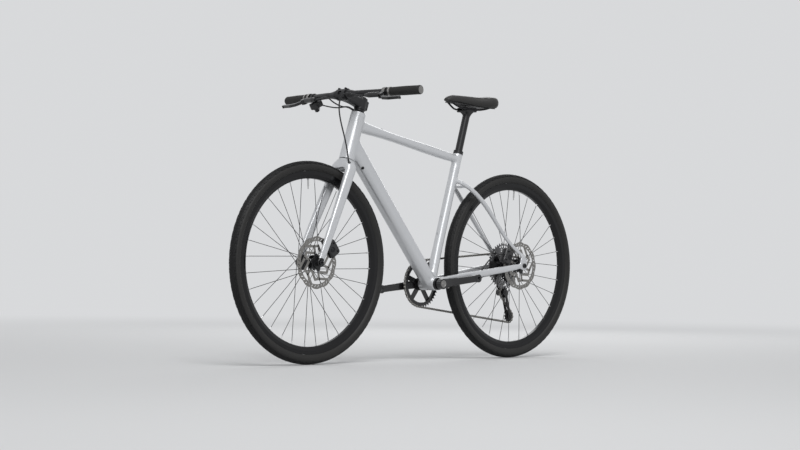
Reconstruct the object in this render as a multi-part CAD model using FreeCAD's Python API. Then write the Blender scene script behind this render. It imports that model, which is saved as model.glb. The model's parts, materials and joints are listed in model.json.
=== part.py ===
import FreeCAD
import Part
import math
import os

V = FreeCAD.Vector

# Driving dimensions in millimetres and degrees: X points forward, Y to the rider's left, Z up.
# The origin is on the ground, midway between the two axles.

# Layout
wheelbase = 1021.0
tyre_radius = 348.0
head_angle = 72.0
seat_angle = 73.5
chainstay_length = 436.0
bb_drop = 70.0
fork_offset = 50.0
axle_to_crown = 393.0

# Shared fits
running_fit = 0.05
seat_gap = 0.1
link_gap = 0.3

# Frame tubes
tube_wall = 2.0
head_tube_length = 175.0
head_top_radius = 26.5
head_bottom_radius = 28.0
head_wall = 3.0
head_groove = 0.6
head_groove_drop = 6.0
crown_gap = 0.6
bearing_height = 7.0
down_tube_rise = 62.0
down_tube_width = 50.0
down_tube_height = 55.0
down_tube_corner = 17.0
top_tube_drop = 44.0
top_tube_seat_drop = 20.0
top_tube_width = 34.0
top_tube_height = 33.0
top_tube_flare = 15.0
top_tube_corner = 12.0
seat_tube_length = 499.0
seat_tube_width = 35.0
seat_tube_corner = 16.0
seat_tube_foot = 48.0
seat_tube_blend = 0.3
bb_shell_width = 73.0
bb_shell_radius = 24.0
bb_cup_width = 10.0
bb_cup_radius = 22.0
bb_cup_seat = 20.0
stay_height = 25.0
stay_width = 13.0
seatstay_height = 17.0
seatstay_width = 14.0
seatstay_drop = 100.0
dropout_thickness = 8.0
dropout_radius = 16.0
boss_spacing = 64.0
boss_radius = 4.5
boss_hole_radius = 2.5
boss_depth = 9.0
boss_sink = 0.7
seat_boss_rise = 186.0
down_boss_rise = 220.0
top_boss_spacing = 44.0
top_boss_front = 85.0
top_boss_back = 62.0
fork_boss_drop = 108.0
fork_boss_spacing = 82.0
port_radius = 5.5
port_drop = 90.0
port_depth = 7.0
port_lip = 1.2

# Axles and hubs
axle_radius = 6.0
axle_bore_radius = 3.5
axle_head_radius = 8.5
axle_head_length = 3.0
front_hub_width = 100.0
rear_hub_width = 142.0
hub_cap_radius = 9.5

# Fork
steerer_radius = 14.3
steerer_wall = 2.4
crown_race_radius = 19.9
crown_depth = 40.0
crown_radius = 27.6
tyre_room = 9.0
tyre_side_room = 6.5
blade_width = 25.0
blade_chord = 42.0
blade_foot_width = 12.0
blade_foot_chord = 26.0
blade_corner = 0.46
fork_foot_radius = 14.0

# Wheels
tyre_width = 39.0
tyre_wall = 3.0
rim_radius = 313.5
rim_inner_radius = 287.0
rim_floor = 7.0
rim_flange = 2.2
rim_bed_width = 12.0
spoke_count = 32
spoke_radius = 1.0
spoke_lean = 1.3
nipple_radius = 2.1
nipple_length = 12.0
nipple_gap = 0.4
spoke_head_radius = 1.7
flange_thickness = 3.4
flange_radius = 26.0
flange_edge = 3.0
valve_radius = 3.0
valve_length = 36.0
front_valve_angle = 88.0
rear_valve_angle = 95.0
front_left_flange = 20.0
front_right_flange = 34.0
rear_left_flange = 36.0
rear_right_flange = 19.0

# Brake rotors, calipers and pads
rotor_radius = 90.0
rotor_thickness = 1.8
rotor_track = 17.0
rotor_wave = 3.0
rotor_waves = 12
rotor_arm_width = 5.5
rotor_eye_radius = 33.0
rotor_spline_radius = 17.0
carrier_thickness = 2.5
lockring_radius = 20.0
lockring_thickness = 4.0
front_rotor_y = 38.0
rear_rotor_y = 55.0
caliper_length = 54.0
caliper_half_width = 14.0
caliper_inner_radius = 62.0
caliper_outer_radius = 104.0
caliper_slot_half = 5.6
pad_radius = 77.0
pad_length = 22.0
pad_height = 17.0
pad_thickness = 3.6
pad_gap = 0.5
piston_radius = 8.0
piston_length = 6.0
front_caliper_behind = 46.0
front_caliper_above = 63.0
rear_caliper_angle = 24.0

# Drivetrain
chain_pitch = 12.7
chain_y = -43.5
roller_radius = 3.85
chain_pin_radius = 1.8
chain_plate_height = 8.2
chain_inner_half = 1.15
chain_plate = 0.8
ring_teeth = 42
cog_teeth = (11, 13, 15, 18, 21, 24, 28, 32, 36, 42)
drive_cog = 5
cog_spacing = 3.95
cog_thickness = 1.6
ring_thickness = 1.9
pulley_teeth = 11
tooth_height = 3.0
tooth_tip_half = 1.0
seat_clearance = 0.15
freehub_radius = 16.5
crank_length = 175.0
crank_angle = 7.0
spindle_radius = 12.0
arm_boss_radius = 19.0
arm_eye_radius = 15.0
arm_thickness = 14.0
arm_height = 27.0
arm_face = 52.0
arm_eye_face = 70.0
pedal_thread_radius = 7.0
ring_arms = 5

# Rear derailleur
guide_behind = 21.0
guide_below = 102.0
cage_length = 95.0
cage_lean = 19.0
cage_plate = 2.0
cage_gap_half = 7.0
cage_bolt_radius = 2.5
hanger_behind = 9.0
hanger_below = 29.0

# Cockpit
headset_cover_height = 8.0
spacer_height = 6.0
spacer_radius = 18.0
stem_height = 42.0
stem_length = 88.0
stem_clamp_radius = 20.5
stem_bar_width = 46.0
bar_clamp_radius = 15.9
bar_grip_radius = 11.1
bar_wall = 1.6
bar_width = 672.0
bar_sweep = 9.0
bar_clamp_half = 34.0
bar_taper_end = 80.0
bar_bend_radius = 130.0
grip_length = 130.0
grip_radius = 16.0
control_droop = 28.0
lever_clamp_at = 192.0
shifter_clamp_at = 168.0
lever_reach = 56.0
master_length = 68.0
master_radius = 9.0
master_down = 27.0
master_lift = 2.0
lever_thickness = 10.0
lever_pivot_radius = 2.5
hose_radius = 2.5
housing_radius = 2.3

# Seat
seatpost_radius = 13.6
seatpost_wall = 2.2
seatpost_insert = 120.0
seatpost_height = 660.0
seat_clamp_height = 12.0
seat_clamp_wall = 4.6
rail_radius = 3.5
rail_spread = 22.0
rail_z_above_head = 14.0
saddle_length = 240.0
saddle_width = 138.0
saddle_forward = 4.5
post_neck = 30.0
cradle_length = 54.0
cradle_thickness = 6.0
saddle_base_thickness = 3.0
saddle_arch = 7.0
saddle_foot_share = 0.78
base_width_share = 0.94

# Points and directions worked out from the layout

FRONT_AXLE = V(wheelbase / 2, 0, tyre_radius)
REAR_AXLE = V(-wheelbase / 2, 0, tyre_radius)
BOTTOM_BRACKET = REAR_AXLE + V(math.sqrt(chainstay_length ** 2 - bb_drop ** 2), 0, -bb_drop)
LEFT = V(0, 1, 0)
UP = V(0, 0, 1)
STEER_UP = V(-math.cos(math.radians(head_angle)), 0, math.sin(math.radians(head_angle)))
STEER_AHEAD = V(STEER_UP.z, 0, -STEER_UP.x)
SEAT_UP = V(-math.cos(math.radians(seat_angle)), 0, math.sin(math.radians(seat_angle)))
SEAT_AHEAD = V(SEAT_UP.z, 0, -SEAT_UP.x)
CROWN = FRONT_AXLE - STEER_AHEAD * fork_offset + STEER_UP * axle_to_crown
HEAD_TOP = head_tube_length
FORK_FOOT = -axle_to_crown
SEAT_TOP = BOTTOM_BRACKET + SEAT_UP * seat_tube_length
STEM_LOW = HEAD_TOP + crown_gap + headset_cover_height + spacer_height
STEM_MIDDLE = STEM_LOW + stem_height / 2
REAR_INNER = rear_hub_width / 2 + seat_gap
FRONT_INNER = front_hub_width / 2 + seat_gap


def steer_point(along, ahead=0.0, left=0.0):
    """A point given along the steering axis from the fork crown, ahead of it and to the left."""
    return CROWN + STEER_UP * along + STEER_AHEAD * ahead + LEFT * left


def seat_point(along, ahead=0.0, left=0.0):
    """A point given along the seat tube from the bottom bracket, ahead of it and to the left."""
    return BOTTOM_BRACKET + SEAT_UP * along + SEAT_AHEAD * ahead + LEFT * left


def unit(vector):
    """The vector at length one."""
    return vector * (1.0 / vector.Length)


# Building blocks


def rod(start, end, radius):
    """Round bar between two points."""
    return Part.makeCylinder(radius, (end - start).Length, start, end - start)


def pipe(start, end, outer, inner):
    """Round tube between two points."""
    return rod(start, end, outer).cut(rod(start, end, inner))


def cone(start, end, first_radius, last_radius):
    """Tapered round bar between two points."""
    return Part.makeCone(first_radius, last_radius, (end - start).Length, start, end - start)


def corner_arc(before, corner, after, radius):
    """Start, middle and end of the arc that rounds a corner, kept inside its two sides."""
    one = before - corner
    two = after - corner
    room = 0.49 * min(one.Length, two.Length)
    one = unit(one)
    two = unit(two)
    half = math.acos(max(-1.0, min(1.0, one.dot(two)))) / 2
    reach = min(radius / math.tan(half), room)
    radius = reach * math.tan(half)
    inward = unit(one + two)
    middle = corner + inward * (radius / math.sin(half) - radius)
    return corner + one * reach, middle, corner + two * reach


def rounded_loop(points, radius):
    """Closed wire through the points in order, with every corner rounded."""
    count = len(points)
    arcs = [corner_arc(points[i - 1], points[i], points[(i + 1) % count], radius) for i in range(count)]
    edges = []
    for i in range(count):
        start, middle, end = arcs[i]
        edges.append(Part.Arc(start, middle, end).toShape())
        edges.append(Part.LineSegment(end, arcs[(i + 1) % count][0]).toShape())
    return Part.Wire(edges)


def section(centre, across, upward, width, height, corner):
    """Rounded rectangle about a centre, spanned by two unit directions."""
    signs = ((1, 1), (-1, 1), (-1, -1), (1, -1))
    corners = [centre + across * (a * width / 2) + upward * (b * height / 2) for a, b in signs]
    return rounded_loop(corners, corner)


def loft(sections):
    """Smooth solid through closed sections."""
    return Part.makeLoft(sections, True, False)


def plate(points, radius, start_y, end_y):
    """Flat plate square to Y: points are (x, z), corners are rounded."""
    wire = rounded_loop([V(x, start_y, z) for x, z in points], radius)
    return Part.Face(wire).extrude(V(0, end_y - start_y, 0))


def turned(profile, base, axis, side):
    """Solid turned about an axis: the profile is a list of (radius, along)."""
    points = [base + side * r + axis * a for r, a in profile]
    return Part.Face(Part.makePolygon(points + points[:1])).revolve(base, axis, 360)


def wheel_turned(profile, centre):
    """Solid turned about a wheel axle: the profile is a list of (radius, y)."""
    return turned(profile, centre, LEFT, V(1, 0, 0))


def mirrored(shape):
    """The same piece on the other side of the bike."""
    return shape.mirror(V(0, 0, 0), LEFT)


def spun(shape, centre, angle):
    """The piece turned about a wheel axle."""
    turned_shape = shape.copy()
    turned_shape.rotate(centre, LEFT, angle)
    return turned_shape


def route_wire(points):
    """Straight runs joined by tangent arcs as large as the runs allow."""
    edges = []
    last = points[0]
    for i in range(1, len(points) - 1):
        before = points[i - 1]
        after = points[i + 1]
        one = points[i] - before
        two = after - points[i]
        half_turn = one.getAngle(two) / 2
        radius = 0.45 * min(one.Length, two.Length) / math.tan(half_turn)
        start, middle, end = corner_arc(before, points[i], after, radius)
        edges.append(Part.LineSegment(last, start).toShape())
        edges.append(Part.Arc(start, middle, end).toShape())
        last = end
    edges.append(Part.LineSegment(last, points[-1]).toShape())
    return Part.Wire(edges)


def routed_tube(points, radius, name):
    """Round tube along a route, with its bend radii and volume printed."""
    path = route_wire(points)
    circle = Part.Wire(Part.Circle(points[0], points[1] - points[0], radius).toShape())
    tube = path.makePipeShell([circle], True, False)
    bends = [round(edge.Curve.Radius, 1) for edge in path.Edges if isinstance(edge.Curve, Part.Circle)]
    ideal = math.pi * radius ** 2 * path.Length
    print(name, "bend radii", bends, "volume over section times length", round(tube.Volume / ideal, 4))
    return tube


def strip(points, width, start_y, end_y):
    """Flat strip of one width through (x, z) points, square to Y, with round joints."""
    pieces = []
    for (x1, z1), (x2, z2) in zip(points, points[1:]):
        along = unit(V(x2 - x1, 0, z2 - z1))
        side = V(-along.z, 0, along.x) * (width / 2)
        start = V(x1, start_y, z1)
        end = V(x2, start_y, z2)
        loop = Part.makePolygon([start + side, end + side, end - side, start - side, start + side])
        pieces.append(Part.Face(loop).extrude(V(0, end_y - start_y, 0)))
    for x, z in points:
        pieces.append(rod(V(x, start_y, z), V(x, end_y, z), width / 2))
    return pieces[0].fuse(pieces[1:])


def polar(radius, angle):
    """An (x, z) pair from a radius and an angle in degrees."""
    return radius * math.cos(math.radians(angle)), radius * math.sin(math.radians(angle))


# Frame


def head_tube_envelope():
    """Outside of the head tube, filled."""
    return cone(steer_point(crown_gap), steer_point(HEAD_TOP), head_bottom_radius, head_top_radius)


def head_tube():
    """Tapered head tube with a seat for a bearing at each end."""
    tube = head_tube_envelope()
    tube = tube.cut(rod(steer_point(0), steer_point(HEAD_TOP + crown_gap), head_top_radius - 2 * head_wall))
    lower_seat = crown_gap + bearing_height
    upper_seat = HEAD_TOP - bearing_height
    tube = tube.cut(rod(steer_point(0), steer_point(lower_seat), head_bottom_radius - head_wall))
    tube = tube.cut(rod(steer_point(upper_seat), steer_point(HEAD_TOP + 1), head_top_radius - head_wall))
    groove_top = steer_point(HEAD_TOP - head_groove_drop)
    groove_low = steer_point(HEAD_TOP - head_groove_drop - head_groove)
    groove = pipe(groove_low, groove_top, head_bottom_radius, head_top_radius - head_groove)
    return tube.cut(groove)


def down_tube_sections(wall):
    """Down tube sections from the head tube to the bottom bracket, inset by a wall."""
    top = steer_point(down_tube_rise)
    axis = BOTTOM_BRACKET - top
    upward = unit(axis.cross(LEFT))
    stations = (
        (0.0, down_tube_width - 4, down_tube_height + 8),
        (0.14, down_tube_width, down_tube_height + 2),
        (0.5, down_tube_width, down_tube_height - 3),
        (1.0, bb_shell_width - 14, 2 * bb_shell_radius - 4),
    )
    return [
        section(top + axis * at, LEFT, upward, w - 2 * wall, h - 2 * wall, down_tube_corner - wall)
        for at, w, h in stations
    ]


def top_tube_sections(wall):
    """Top tube sections from the head tube to the seat tube, inset by a wall."""
    front = steer_point(HEAD_TOP - top_tube_drop)
    axis = seat_point(seat_tube_length - top_tube_seat_drop) - front
    upward = unit(axis.cross(LEFT))
    stations = (
        (0.0, top_tube_width + 2, top_tube_height + top_tube_flare),
        (0.16, top_tube_width, top_tube_height + 1),
        (0.55, top_tube_width - 2, top_tube_height - 3),
        (1.0, top_tube_width - 6, top_tube_height - 7),
    )
    return [
        section(front + axis * at, LEFT, upward, w - 2 * wall, h - 2 * wall, top_tube_corner - wall)
        for at, w, h in stations
    ]


def seat_tube_envelope():
    """Outside of the seat tube, filled: wide at the bottom bracket, round above."""
    blend = seat_tube_length * seat_tube_blend
    narrow = seat_tube_width - 1
    foot = loft([
        section(seat_point(0), LEFT, SEAT_AHEAD, seat_tube_foot, narrow, seat_tube_corner),
        section(seat_point(blend * 0.5), LEFT, SEAT_AHEAD, narrow + 5, narrow, seat_tube_corner),
        section(seat_point(blend), LEFT, SEAT_AHEAD, narrow, narrow, seat_tube_corner),
    ])
    return rod(seat_point(blend * 0.6), seat_point(seat_tube_length), seat_tube_width / 2).fuse(foot)


def bb_shell_envelope():
    """Outside of the bottom bracket shell, filled."""
    half = LEFT * (bb_shell_width / 2)
    return rod(BOTTOM_BRACKET - half, BOTTOM_BRACKET + half, bb_shell_radius)


def chainstay():
    """Left chainstay, from the bottom bracket round the tyre to the dropout."""
    front = BOTTOM_BRACKET + V(-bb_shell_radius / 2, 0, 8)
    back = REAR_AXLE + V(dropout_radius + 4, 0, -2)
    tyre_edge = tyre_width / 2 + tyre_side_room
    middle_y = REAR_INNER + dropout_thickness / 2
    stations = (
        (0.0, bb_shell_width / 2 - 12, 16.0, stay_height + 5),
        (0.22, tyre_edge + stay_width / 2, stay_width, stay_height + 2),
        (0.6, 0.62 * middle_y + 9, stay_width, stay_height),
        (1.0, middle_y, dropout_thickness - 1, stay_height - 4),
    )
    span = back - front
    sections = [
        section(front + span * at + LEFT * y, LEFT, UP, w, h, 0.42 * w) for at, y, w, h in stations
    ]
    return loft(sections)


def seatstay():
    """Left seatstay, dropped below the top tube and spread round the tyre."""
    root = seat_point(seat_tube_length - seatstay_drop)
    foot = REAR_AXLE + V(4, REAR_INNER + dropout_thickness / 2, dropout_radius + 22)
    bend = V(root.x - 45, tyre_width / 2 + tyre_side_room + seatstay_width / 2, root.z - 23)
    stations = (
        (root + LEFT * 10, bend - root, seatstay_width, seatstay_height),
        (bend, foot - root, seatstay_width, seatstay_height),
        (bend + (foot - bend) * 0.5, foot - bend, seatstay_width - 1, seatstay_height - 1),
        (foot, foot - bend, dropout_thickness - 1, seatstay_height - 2),
    )
    sections = []
    for centre, along, width, height in stations:
        upward = unit(V(-along.z, 0, along.x)) * -1
        across = unit(upward.cross(along))
        sections.append(section(centre, across, upward, width, height, 0.42 * width))
    return loft(sections), bend


def rear_dropout():
    """Left rear dropout plate with its axle hole, to which both stays run."""
    x = REAR_AXLE.x
    z = REAR_AXLE.z
    r = dropout_radius
    outline = (
        (x + r + 6, z - r + 3),
        (x + r + 6, z + r - 5),
        (x + r - 2, z + r + 24),
        (x - r + 8, z + r + 24),
        (x - r, z + 6),
        (x - r + 2, z - r),
        (x, z - r - 2),
    )
    body = plate(outline, 7.0, REAR_INNER, REAR_INNER + dropout_thickness)
    hole_end = REAR_INNER + dropout_thickness + 1
    hole = rod(V(x, REAR_INNER - 1, z), V(x, hole_end, z), axle_radius + running_fit)
    return body.cut(hole)


def hanger():
    """Derailleur hanger under the right dropout."""
    x = REAR_AXLE.x
    z = REAR_AXLE.z
    pivot = (x - hanger_behind, z - hanger_below)
    arm = strip(((x - 2, z - dropout_radius), pivot), 17.0, -REAR_INNER - dropout_thickness, -REAR_INNER)
    hole = rod(V(pivot[0], -REAR_INNER + 1, pivot[1]), V(pivot[0], -REAR_INNER - 20, pivot[1]), 5.0)
    return arm.cut(hole)


def boss_places():
    """Each threaded boss: its mouth on a tube, the way out of it, and the tube it sits in."""
    down_axis = unit(steer_point(down_tube_rise) - BOTTOM_BRACKET)
    down_up = unit(LEFT.cross(down_axis)) * -1
    top_axis = unit(steer_point(HEAD_TOP - top_tube_drop) - seat_point(seat_tube_length - top_tube_seat_drop))
    top_up = unit(LEFT.cross(top_axis)) * -1
    top_front = steer_point(HEAD_TOP - top_tube_drop)
    top_back = seat_point(seat_tube_length - top_tube_seat_drop)
    places = []
    for step in (0, 1):
        seat = seat_point(seat_boss_rise + step * boss_spacing, seat_tube_width / 2 - boss_sink)
        places.append((seat, SEAT_AHEAD, "seat_tube"))
        down = BOTTOM_BRACKET + down_axis * (down_boss_rise + step * boss_spacing)
        down = down + down_up * (down_tube_height / 2 - 1.5)
        places.append((down, down_up, "down_tube"))
        spacing = step * top_boss_spacing
        front = top_front - top_axis * (top_boss_front + spacing) + top_up * (top_tube_height / 2 + 1.2)
        places.append((front, top_up, "top_tube"))
        back = top_back + top_axis * (top_boss_back + spacing) - top_up * (top_tube_height / 2 - 2.6)
        places.append((back, top_up * -1, "top_tube"))
    return places


def boss(mouth, outward):
    """Threaded insert with a flange that stands on the tube."""
    shank = rod(mouth - outward * boss_depth, mouth + outward * 1.2, boss_radius - 1)
    flange = rod(mouth, mouth + outward * 1.2, boss_radius)
    thread = rod(mouth - outward * (boss_depth + 1), mouth + outward * 2, boss_hole_radius)
    return shank.fuse(flange).cut(thread)


def boss_hole(mouth, outward):
    """Seat of a threaded insert, cut into its tube."""
    shank = rod(mouth - outward * (boss_depth + 1), mouth + outward * 4, boss_radius - 1)
    flange = rod(mouth, mouth + outward * 4, boss_radius)
    return shank.fuse(flange)


def cable_port():
    """Closed grommet on the lower left corner of the down tube, and the hole it fills."""
    top = steer_point(down_tube_rise)
    axis = unit(BOTTOM_BRACKET - top)
    outward = unit(LEFT + axis.cross(LEFT))
    corner = LEFT * (down_tube_width / 2 - down_tube_corner)
    corner = corner + axis.cross(LEFT) * (down_tube_height / 2 - down_tube_corner)
    mouth = top + axis * port_drop + corner + outward * down_tube_corner
    plug = rod(mouth - outward * port_depth, mouth + outward * port_lip, port_radius)
    hole = rod(mouth - outward * port_depth, mouth + outward * port_depth, port_radius)
    return plug, hole


# Wheels


def tyre(centre):
    """Tyre casing, open at the rim."""
    outer = tyre_width / 2
    inner = outer - tyre_wall
    middle = tyre_radius - outer
    drop = middle - rim_radius - seat_gap
    outer_y = math.sqrt(outer ** 2 - drop ** 2)
    inner_y = math.sqrt(inner ** 2 - drop ** 2)
    bead = centre + V(middle - drop, 0, 0)
    crown = centre + V(middle, 0, 0)
    edges = [
        Part.Arc(bead + LEFT * outer_y, crown + V(outer, 0, 0), bead - LEFT * outer_y).toShape(),
        Part.LineSegment(bead - LEFT * outer_y, bead - LEFT * inner_y).toShape(),
        Part.Arc(bead - LEFT * inner_y, crown + V(inner, 0, 0), bead + LEFT * inner_y).toShape(),
        Part.LineSegment(bead + LEFT * inner_y, bead + LEFT * outer_y).toShape(),
    ]
    return Part.Face(Part.Wire(edges)).revolve(centre, LEFT, 360)


def rim_half_width():
    """Half width of the rim where the tyre bead meets it."""
    outer = tyre_width / 2
    drop = tyre_radius - outer - rim_radius - seat_gap
    return math.sqrt(outer ** 2 - drop ** 2)


def rim(centre):
    """Deep rim with a bed for the tyre."""
    edge = rim_half_width()
    bed = rim_radius - rim_floor
    depth = rim_radius - rim_inner_radius
    half = [
        (bed, edge - rim_flange),
        (rim_radius, edge - rim_flange),
        (rim_radius, edge),
        (rim_radius - 0.5 * depth, edge - 0.4),
        (rim_inner_radius + 0.14 * depth, rim_bed_width / 2 + 2.2),
        (rim_inner_radius, rim_bed_width / 2),
    ]
    other = [(r, -y) for r, y in reversed(half)]
    return wheel_turned(half + other, centre)


def valve(centre, angle):
    """Valve stem standing inward from the rim."""
    x, z = polar(1.0, angle)
    outward = V(x, 0, z)
    foot = centre + outward * (rim_inner_radius - seat_gap)
    tip = foot - outward * valve_length
    collar = rod(foot, foot - outward * 3, valve_radius + 1.4)
    stem = rod(foot - outward * 3, tip + outward * 10, valve_radius)
    core = rod(tip + outward * 10, tip, valve_radius - 1.0)
    return collar.fuse([stem, core])


def spoke_pair_angles():
    """Angle between neighbouring spokes and the lacing angle of three crossings."""
    step = 360.0 / spoke_count
    return step, 3 * 2 * step


def spoke(centre, flange_y, outside, rim_angle, lean):
    """One spoke with its bent head in the flange, and its nipple at the rim."""
    side = 1 if flange_y > 0 else -1
    face = 1 if outside else -1
    away = flange_thickness / 2 + spoke_radius + (spoke_lean if outside else 0.15)
    hole_radius = flange_radius - flange_edge
    hx, hz = polar(hole_radius, rim_angle + lean)
    rx, rz = polar(rim_inner_radius - nipple_gap, rim_angle)
    start = centre + V(hx, flange_y + side * face * away, hz)
    end = centre + V(rx, side * 1.5, rz)
    along = unit(end - start)
    seat = end - along * nipple_length
    back = centre + V(hx, flange_y - side * face * (flange_thickness / 2 + 0.05), hz)
    head_end = back - LEFT * (side * face * 0.9)
    wire = rod(start, seat, spoke_radius)
    elbow = rod(start, back, spoke_radius)
    bend = Part.makeSphere(spoke_radius, start)
    head = rod(back, head_end, spoke_head_radius)
    nipple = rod(seat, end, nipple_radius)
    hole = rod(start, head_end, spoke_radius + running_fit)
    return wire.fuse([elbow, bend, head, nipple]), hole


def wheel_spokes(centre, left_flange, right_flange, valve_angle):
    """All spokes and nipples of a wheel, and the holes they need in the flanges."""
    step, lacing = spoke_pair_angles()
    spokes = []
    holes = []
    for kind in range(4):
        flange_y = left_flange if kind % 2 == 0 else -right_flange
        outside = kind < 2
        lean = lacing if outside else -lacing
        wire, hole = spoke(centre, flange_y, outside, valve_angle + step * (kind + 0.5), lean)
        for turn in range(spoke_count // 4):
            angle = -4 * step * turn
            spokes.append(spun(wire, centre, angle))
            holes.append(spun(hole, centre, angle))
    return spokes, Part.makeCompound(holes)


def flange_profile(y, barrel):
    """Profile steps of one spoke flange at a given y, rising from the barrel."""
    half = flange_thickness / 2
    return [(barrel, y - half), (flange_radius, y - half), (flange_radius, y + half), (barrel, y + half)]


def front_hub():
    """Front hub shell with its flanges, rotor spline and end caps."""
    end = front_hub_width / 2
    bore = axle_radius + running_fit
    spline_start = front_rotor_y - rotor_thickness
    lock = front_rotor_y + rotor_thickness / 2 + carrier_thickness + seat_gap
    profile = [(bore, -end), (hub_cap_radius, -end), (hub_cap_radius, -end + 7)]
    profile += flange_profile(-front_right_flange, 13.0)
    profile += flange_profile(front_left_flange, 14.0)
    profile += [(14.0, spline_start), (rotor_spline_radius, spline_start), (rotor_spline_radius, lock)]
    profile += [(hub_cap_radius, lock), (hub_cap_radius, end), (bore, end)]
    return wheel_turned(profile, FRONT_AXLE)


def rear_hub():
    """Rear hub shell, from the freehub to the rotor side end cap."""
    end = rear_hub_width / 2
    bore = axle_radius + running_fit
    start = -rear_right_flange - 4
    spline_start = rear_rotor_y - rotor_thickness
    lock = rear_rotor_y + rotor_thickness / 2 + carrier_thickness + seat_gap
    profile = [(bore, start), (16.0, start)]
    profile += flange_profile(-rear_right_flange, 17.0)
    profile += flange_profile(rear_left_flange, 15.0)
    profile += [(15.0, spline_start), (rotor_spline_radius, spline_start), (rotor_spline_radius, lock)]
    profile += [(hub_cap_radius, lock), (hub_cap_radius, end), (bore, end)]
    return wheel_turned(profile, REAR_AXLE)


def rotor_arm_points(angle):
    """Zigzag centre line of one rotor arm."""
    inner = rotor_eye_radius
    track = rotor_radius - rotor_track
    rise = track - inner
    return (
        polar(track + 3, angle),
        polar(inner + 0.5 * rise, angle + 29),
        polar(inner + 0.42 * rise, angle - 5),
        polar(inner, angle + 16),
    )


def rotor(centre, y):
    """Steel brake rotor: a wavy slotted track on zigzag arms."""
    low = -rotor_thickness / 2
    high = rotor_thickness / 2
    step = 360.0 / rotor_waves
    edges = []
    crest = rotor_radius
    shoulder = rotor_radius - rotor_wave / 2
    valley = rotor_radius - rotor_wave
    for i in range(rotor_waves):
        points = (
            (shoulder, step * (i - 0.3)),
            (crest, step * i),
            (shoulder, step * (i + 0.3)),
            (valley, step * (i + 0.5)),
            (shoulder, step * (i + 0.7)),
        )
        a, b, c, d, e = [V(p[0], low, p[1]) for p in (polar(r, t) for r, t in points)]
        edges.append(Part.Arc(a, b, c).toShape())
        edges.append(Part.Arc(c, d, e).toShape())
    disc = Part.Face(Part.Wire(edges)).extrude(V(0, rotor_thickness, 0))
    track = disc.cut(rod(V(0, low - 1, 0), V(0, high + 1, 0), rotor_radius - rotor_track))
    slots = []
    for i in range(3 * rotor_waves):
        angle = step * (i + 0.25) / 3
        inner = polar(rotor_radius - rotor_track + 4.5, angle)
        outer = polar(rotor_radius - 6.5, angle + 3.5)
        slots.append(strip((inner, outer), 3.0, low - 1, high + 1))
    track = track.cut(Part.makeCompound(slots))
    pieces = []
    for i in range(6):
        pieces.append(strip(rotor_arm_points(60.0 * i), rotor_arm_width, low, high))
        eye = polar(rotor_eye_radius, 60.0 * i + 16)
        pieces.append(rod(V(eye[0], low, eye[1]), V(eye[0], high, eye[1]), 4.2))
    body = track.fuse(pieces)
    body.translate(centre + LEFT * y)
    return body.removeSplitter()


def rotor_carrier(centre, y):
    """Star shaped carrier that bolts the rotor arms to the hub, with its lockring and rivets."""
    low = y + rotor_thickness / 2 + seat_gap / 2
    high = low + carrier_thickness
    points = []
    for i in range(6):
        points.append(polar(rotor_eye_radius + 7, 60.0 * i + 16))
        points.append(polar(rotor_spline_radius + 5, 60.0 * i + 46))
    star = plate(points, 3.0, low, high)
    bore = rod(V(0, low - 1, 0), V(0, high + 1, 0), rotor_spline_radius + running_fit)
    star = star.cut(bore)
    ring = pipe(
        V(0, high + seat_gap / 2, 0),
        V(0, high + lockring_thickness, 0),
        lockring_radius,
        hub_cap_radius + running_fit,
    )
    star.translate(centre)
    ring.translate(centre)
    return [star, ring]


# Brakes


def caliper_axes(direction):
    """Radial and tangential unit directions of a caliper in the wheel plane."""
    radial = unit(direction)
    return radial, V(-radial.z, 0, radial.x)


def caliper(axle, direction, y):
    """Brake caliper: a body that straddles the rotor, with a bore for each piston."""
    radial, tangent = caliper_axes(direction)
    middle = (caliper_inner_radius + caliper_outer_radius) / 2
    height = caliper_outer_radius - caliper_inner_radius
    low = axle + radial * middle + LEFT * (y - caliper_half_width)
    high = axle + radial * middle + LEFT * (y + caliper_half_width)
    chamfer = 3.5
    body = loft([
        section(low, radial, tangent, height - 2 * chamfer, caliper_length - 2 * chamfer, 7.0),
        section(low + LEFT * chamfer, radial, tangent, height, caliper_length, 9.0),
        section(high - LEFT * chamfer, radial, tangent, height, caliper_length, 9.0),
        section(high, radial, tangent, height - 2 * chamfer, caliper_length - 2 * chamfer, 7.0),
    ])
    room = rod(
        axle + LEFT * (y - caliper_slot_half),
        axle + LEFT * (y + caliper_slot_half),
        rotor_radius + 4,
    )
    centre = axle + radial * pad_radius
    reach = caliper_slot_half + piston_length
    bores = rod(centre + LEFT * (y - reach), centre + LEFT * (y + reach), piston_radius + running_fit)
    return body.cut(room).cut(bores)


def pad(axle, direction, y, side):
    """One brake pad and the piston behind it."""
    radial, tangent = caliper_axes(direction)
    face = y + side * (rotor_thickness / 2 + pad_gap)
    back = face + side * pad_thickness
    centre = axle + radial * pad_radius
    outline = section(centre + LEFT * face, radial, tangent, pad_height, pad_length, 3.0)
    block = Part.Face(outline).extrude(LEFT * (side * pad_thickness))
    piston = rod(centre + LEFT * back, centre + LEFT * (back + side * (piston_length - 0.6)), piston_radius)
    return [block, piston]


def front_caliper_direction():
    """Where the front caliper stands, seen from the front axle."""
    return STEER_AHEAD * -front_caliper_behind + STEER_UP * front_caliper_above


def rear_caliper_direction():
    """Where the rear caliper stands, seen from the rear axle."""
    x, z = polar(1.0, rear_caliper_angle)
    return V(x, 0, z)


# Drivetrain


def pitch_radius(teeth):
    """Radius of the roller centres round a sprocket."""
    return chain_pitch / (2 * math.sin(math.pi / teeth))


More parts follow.
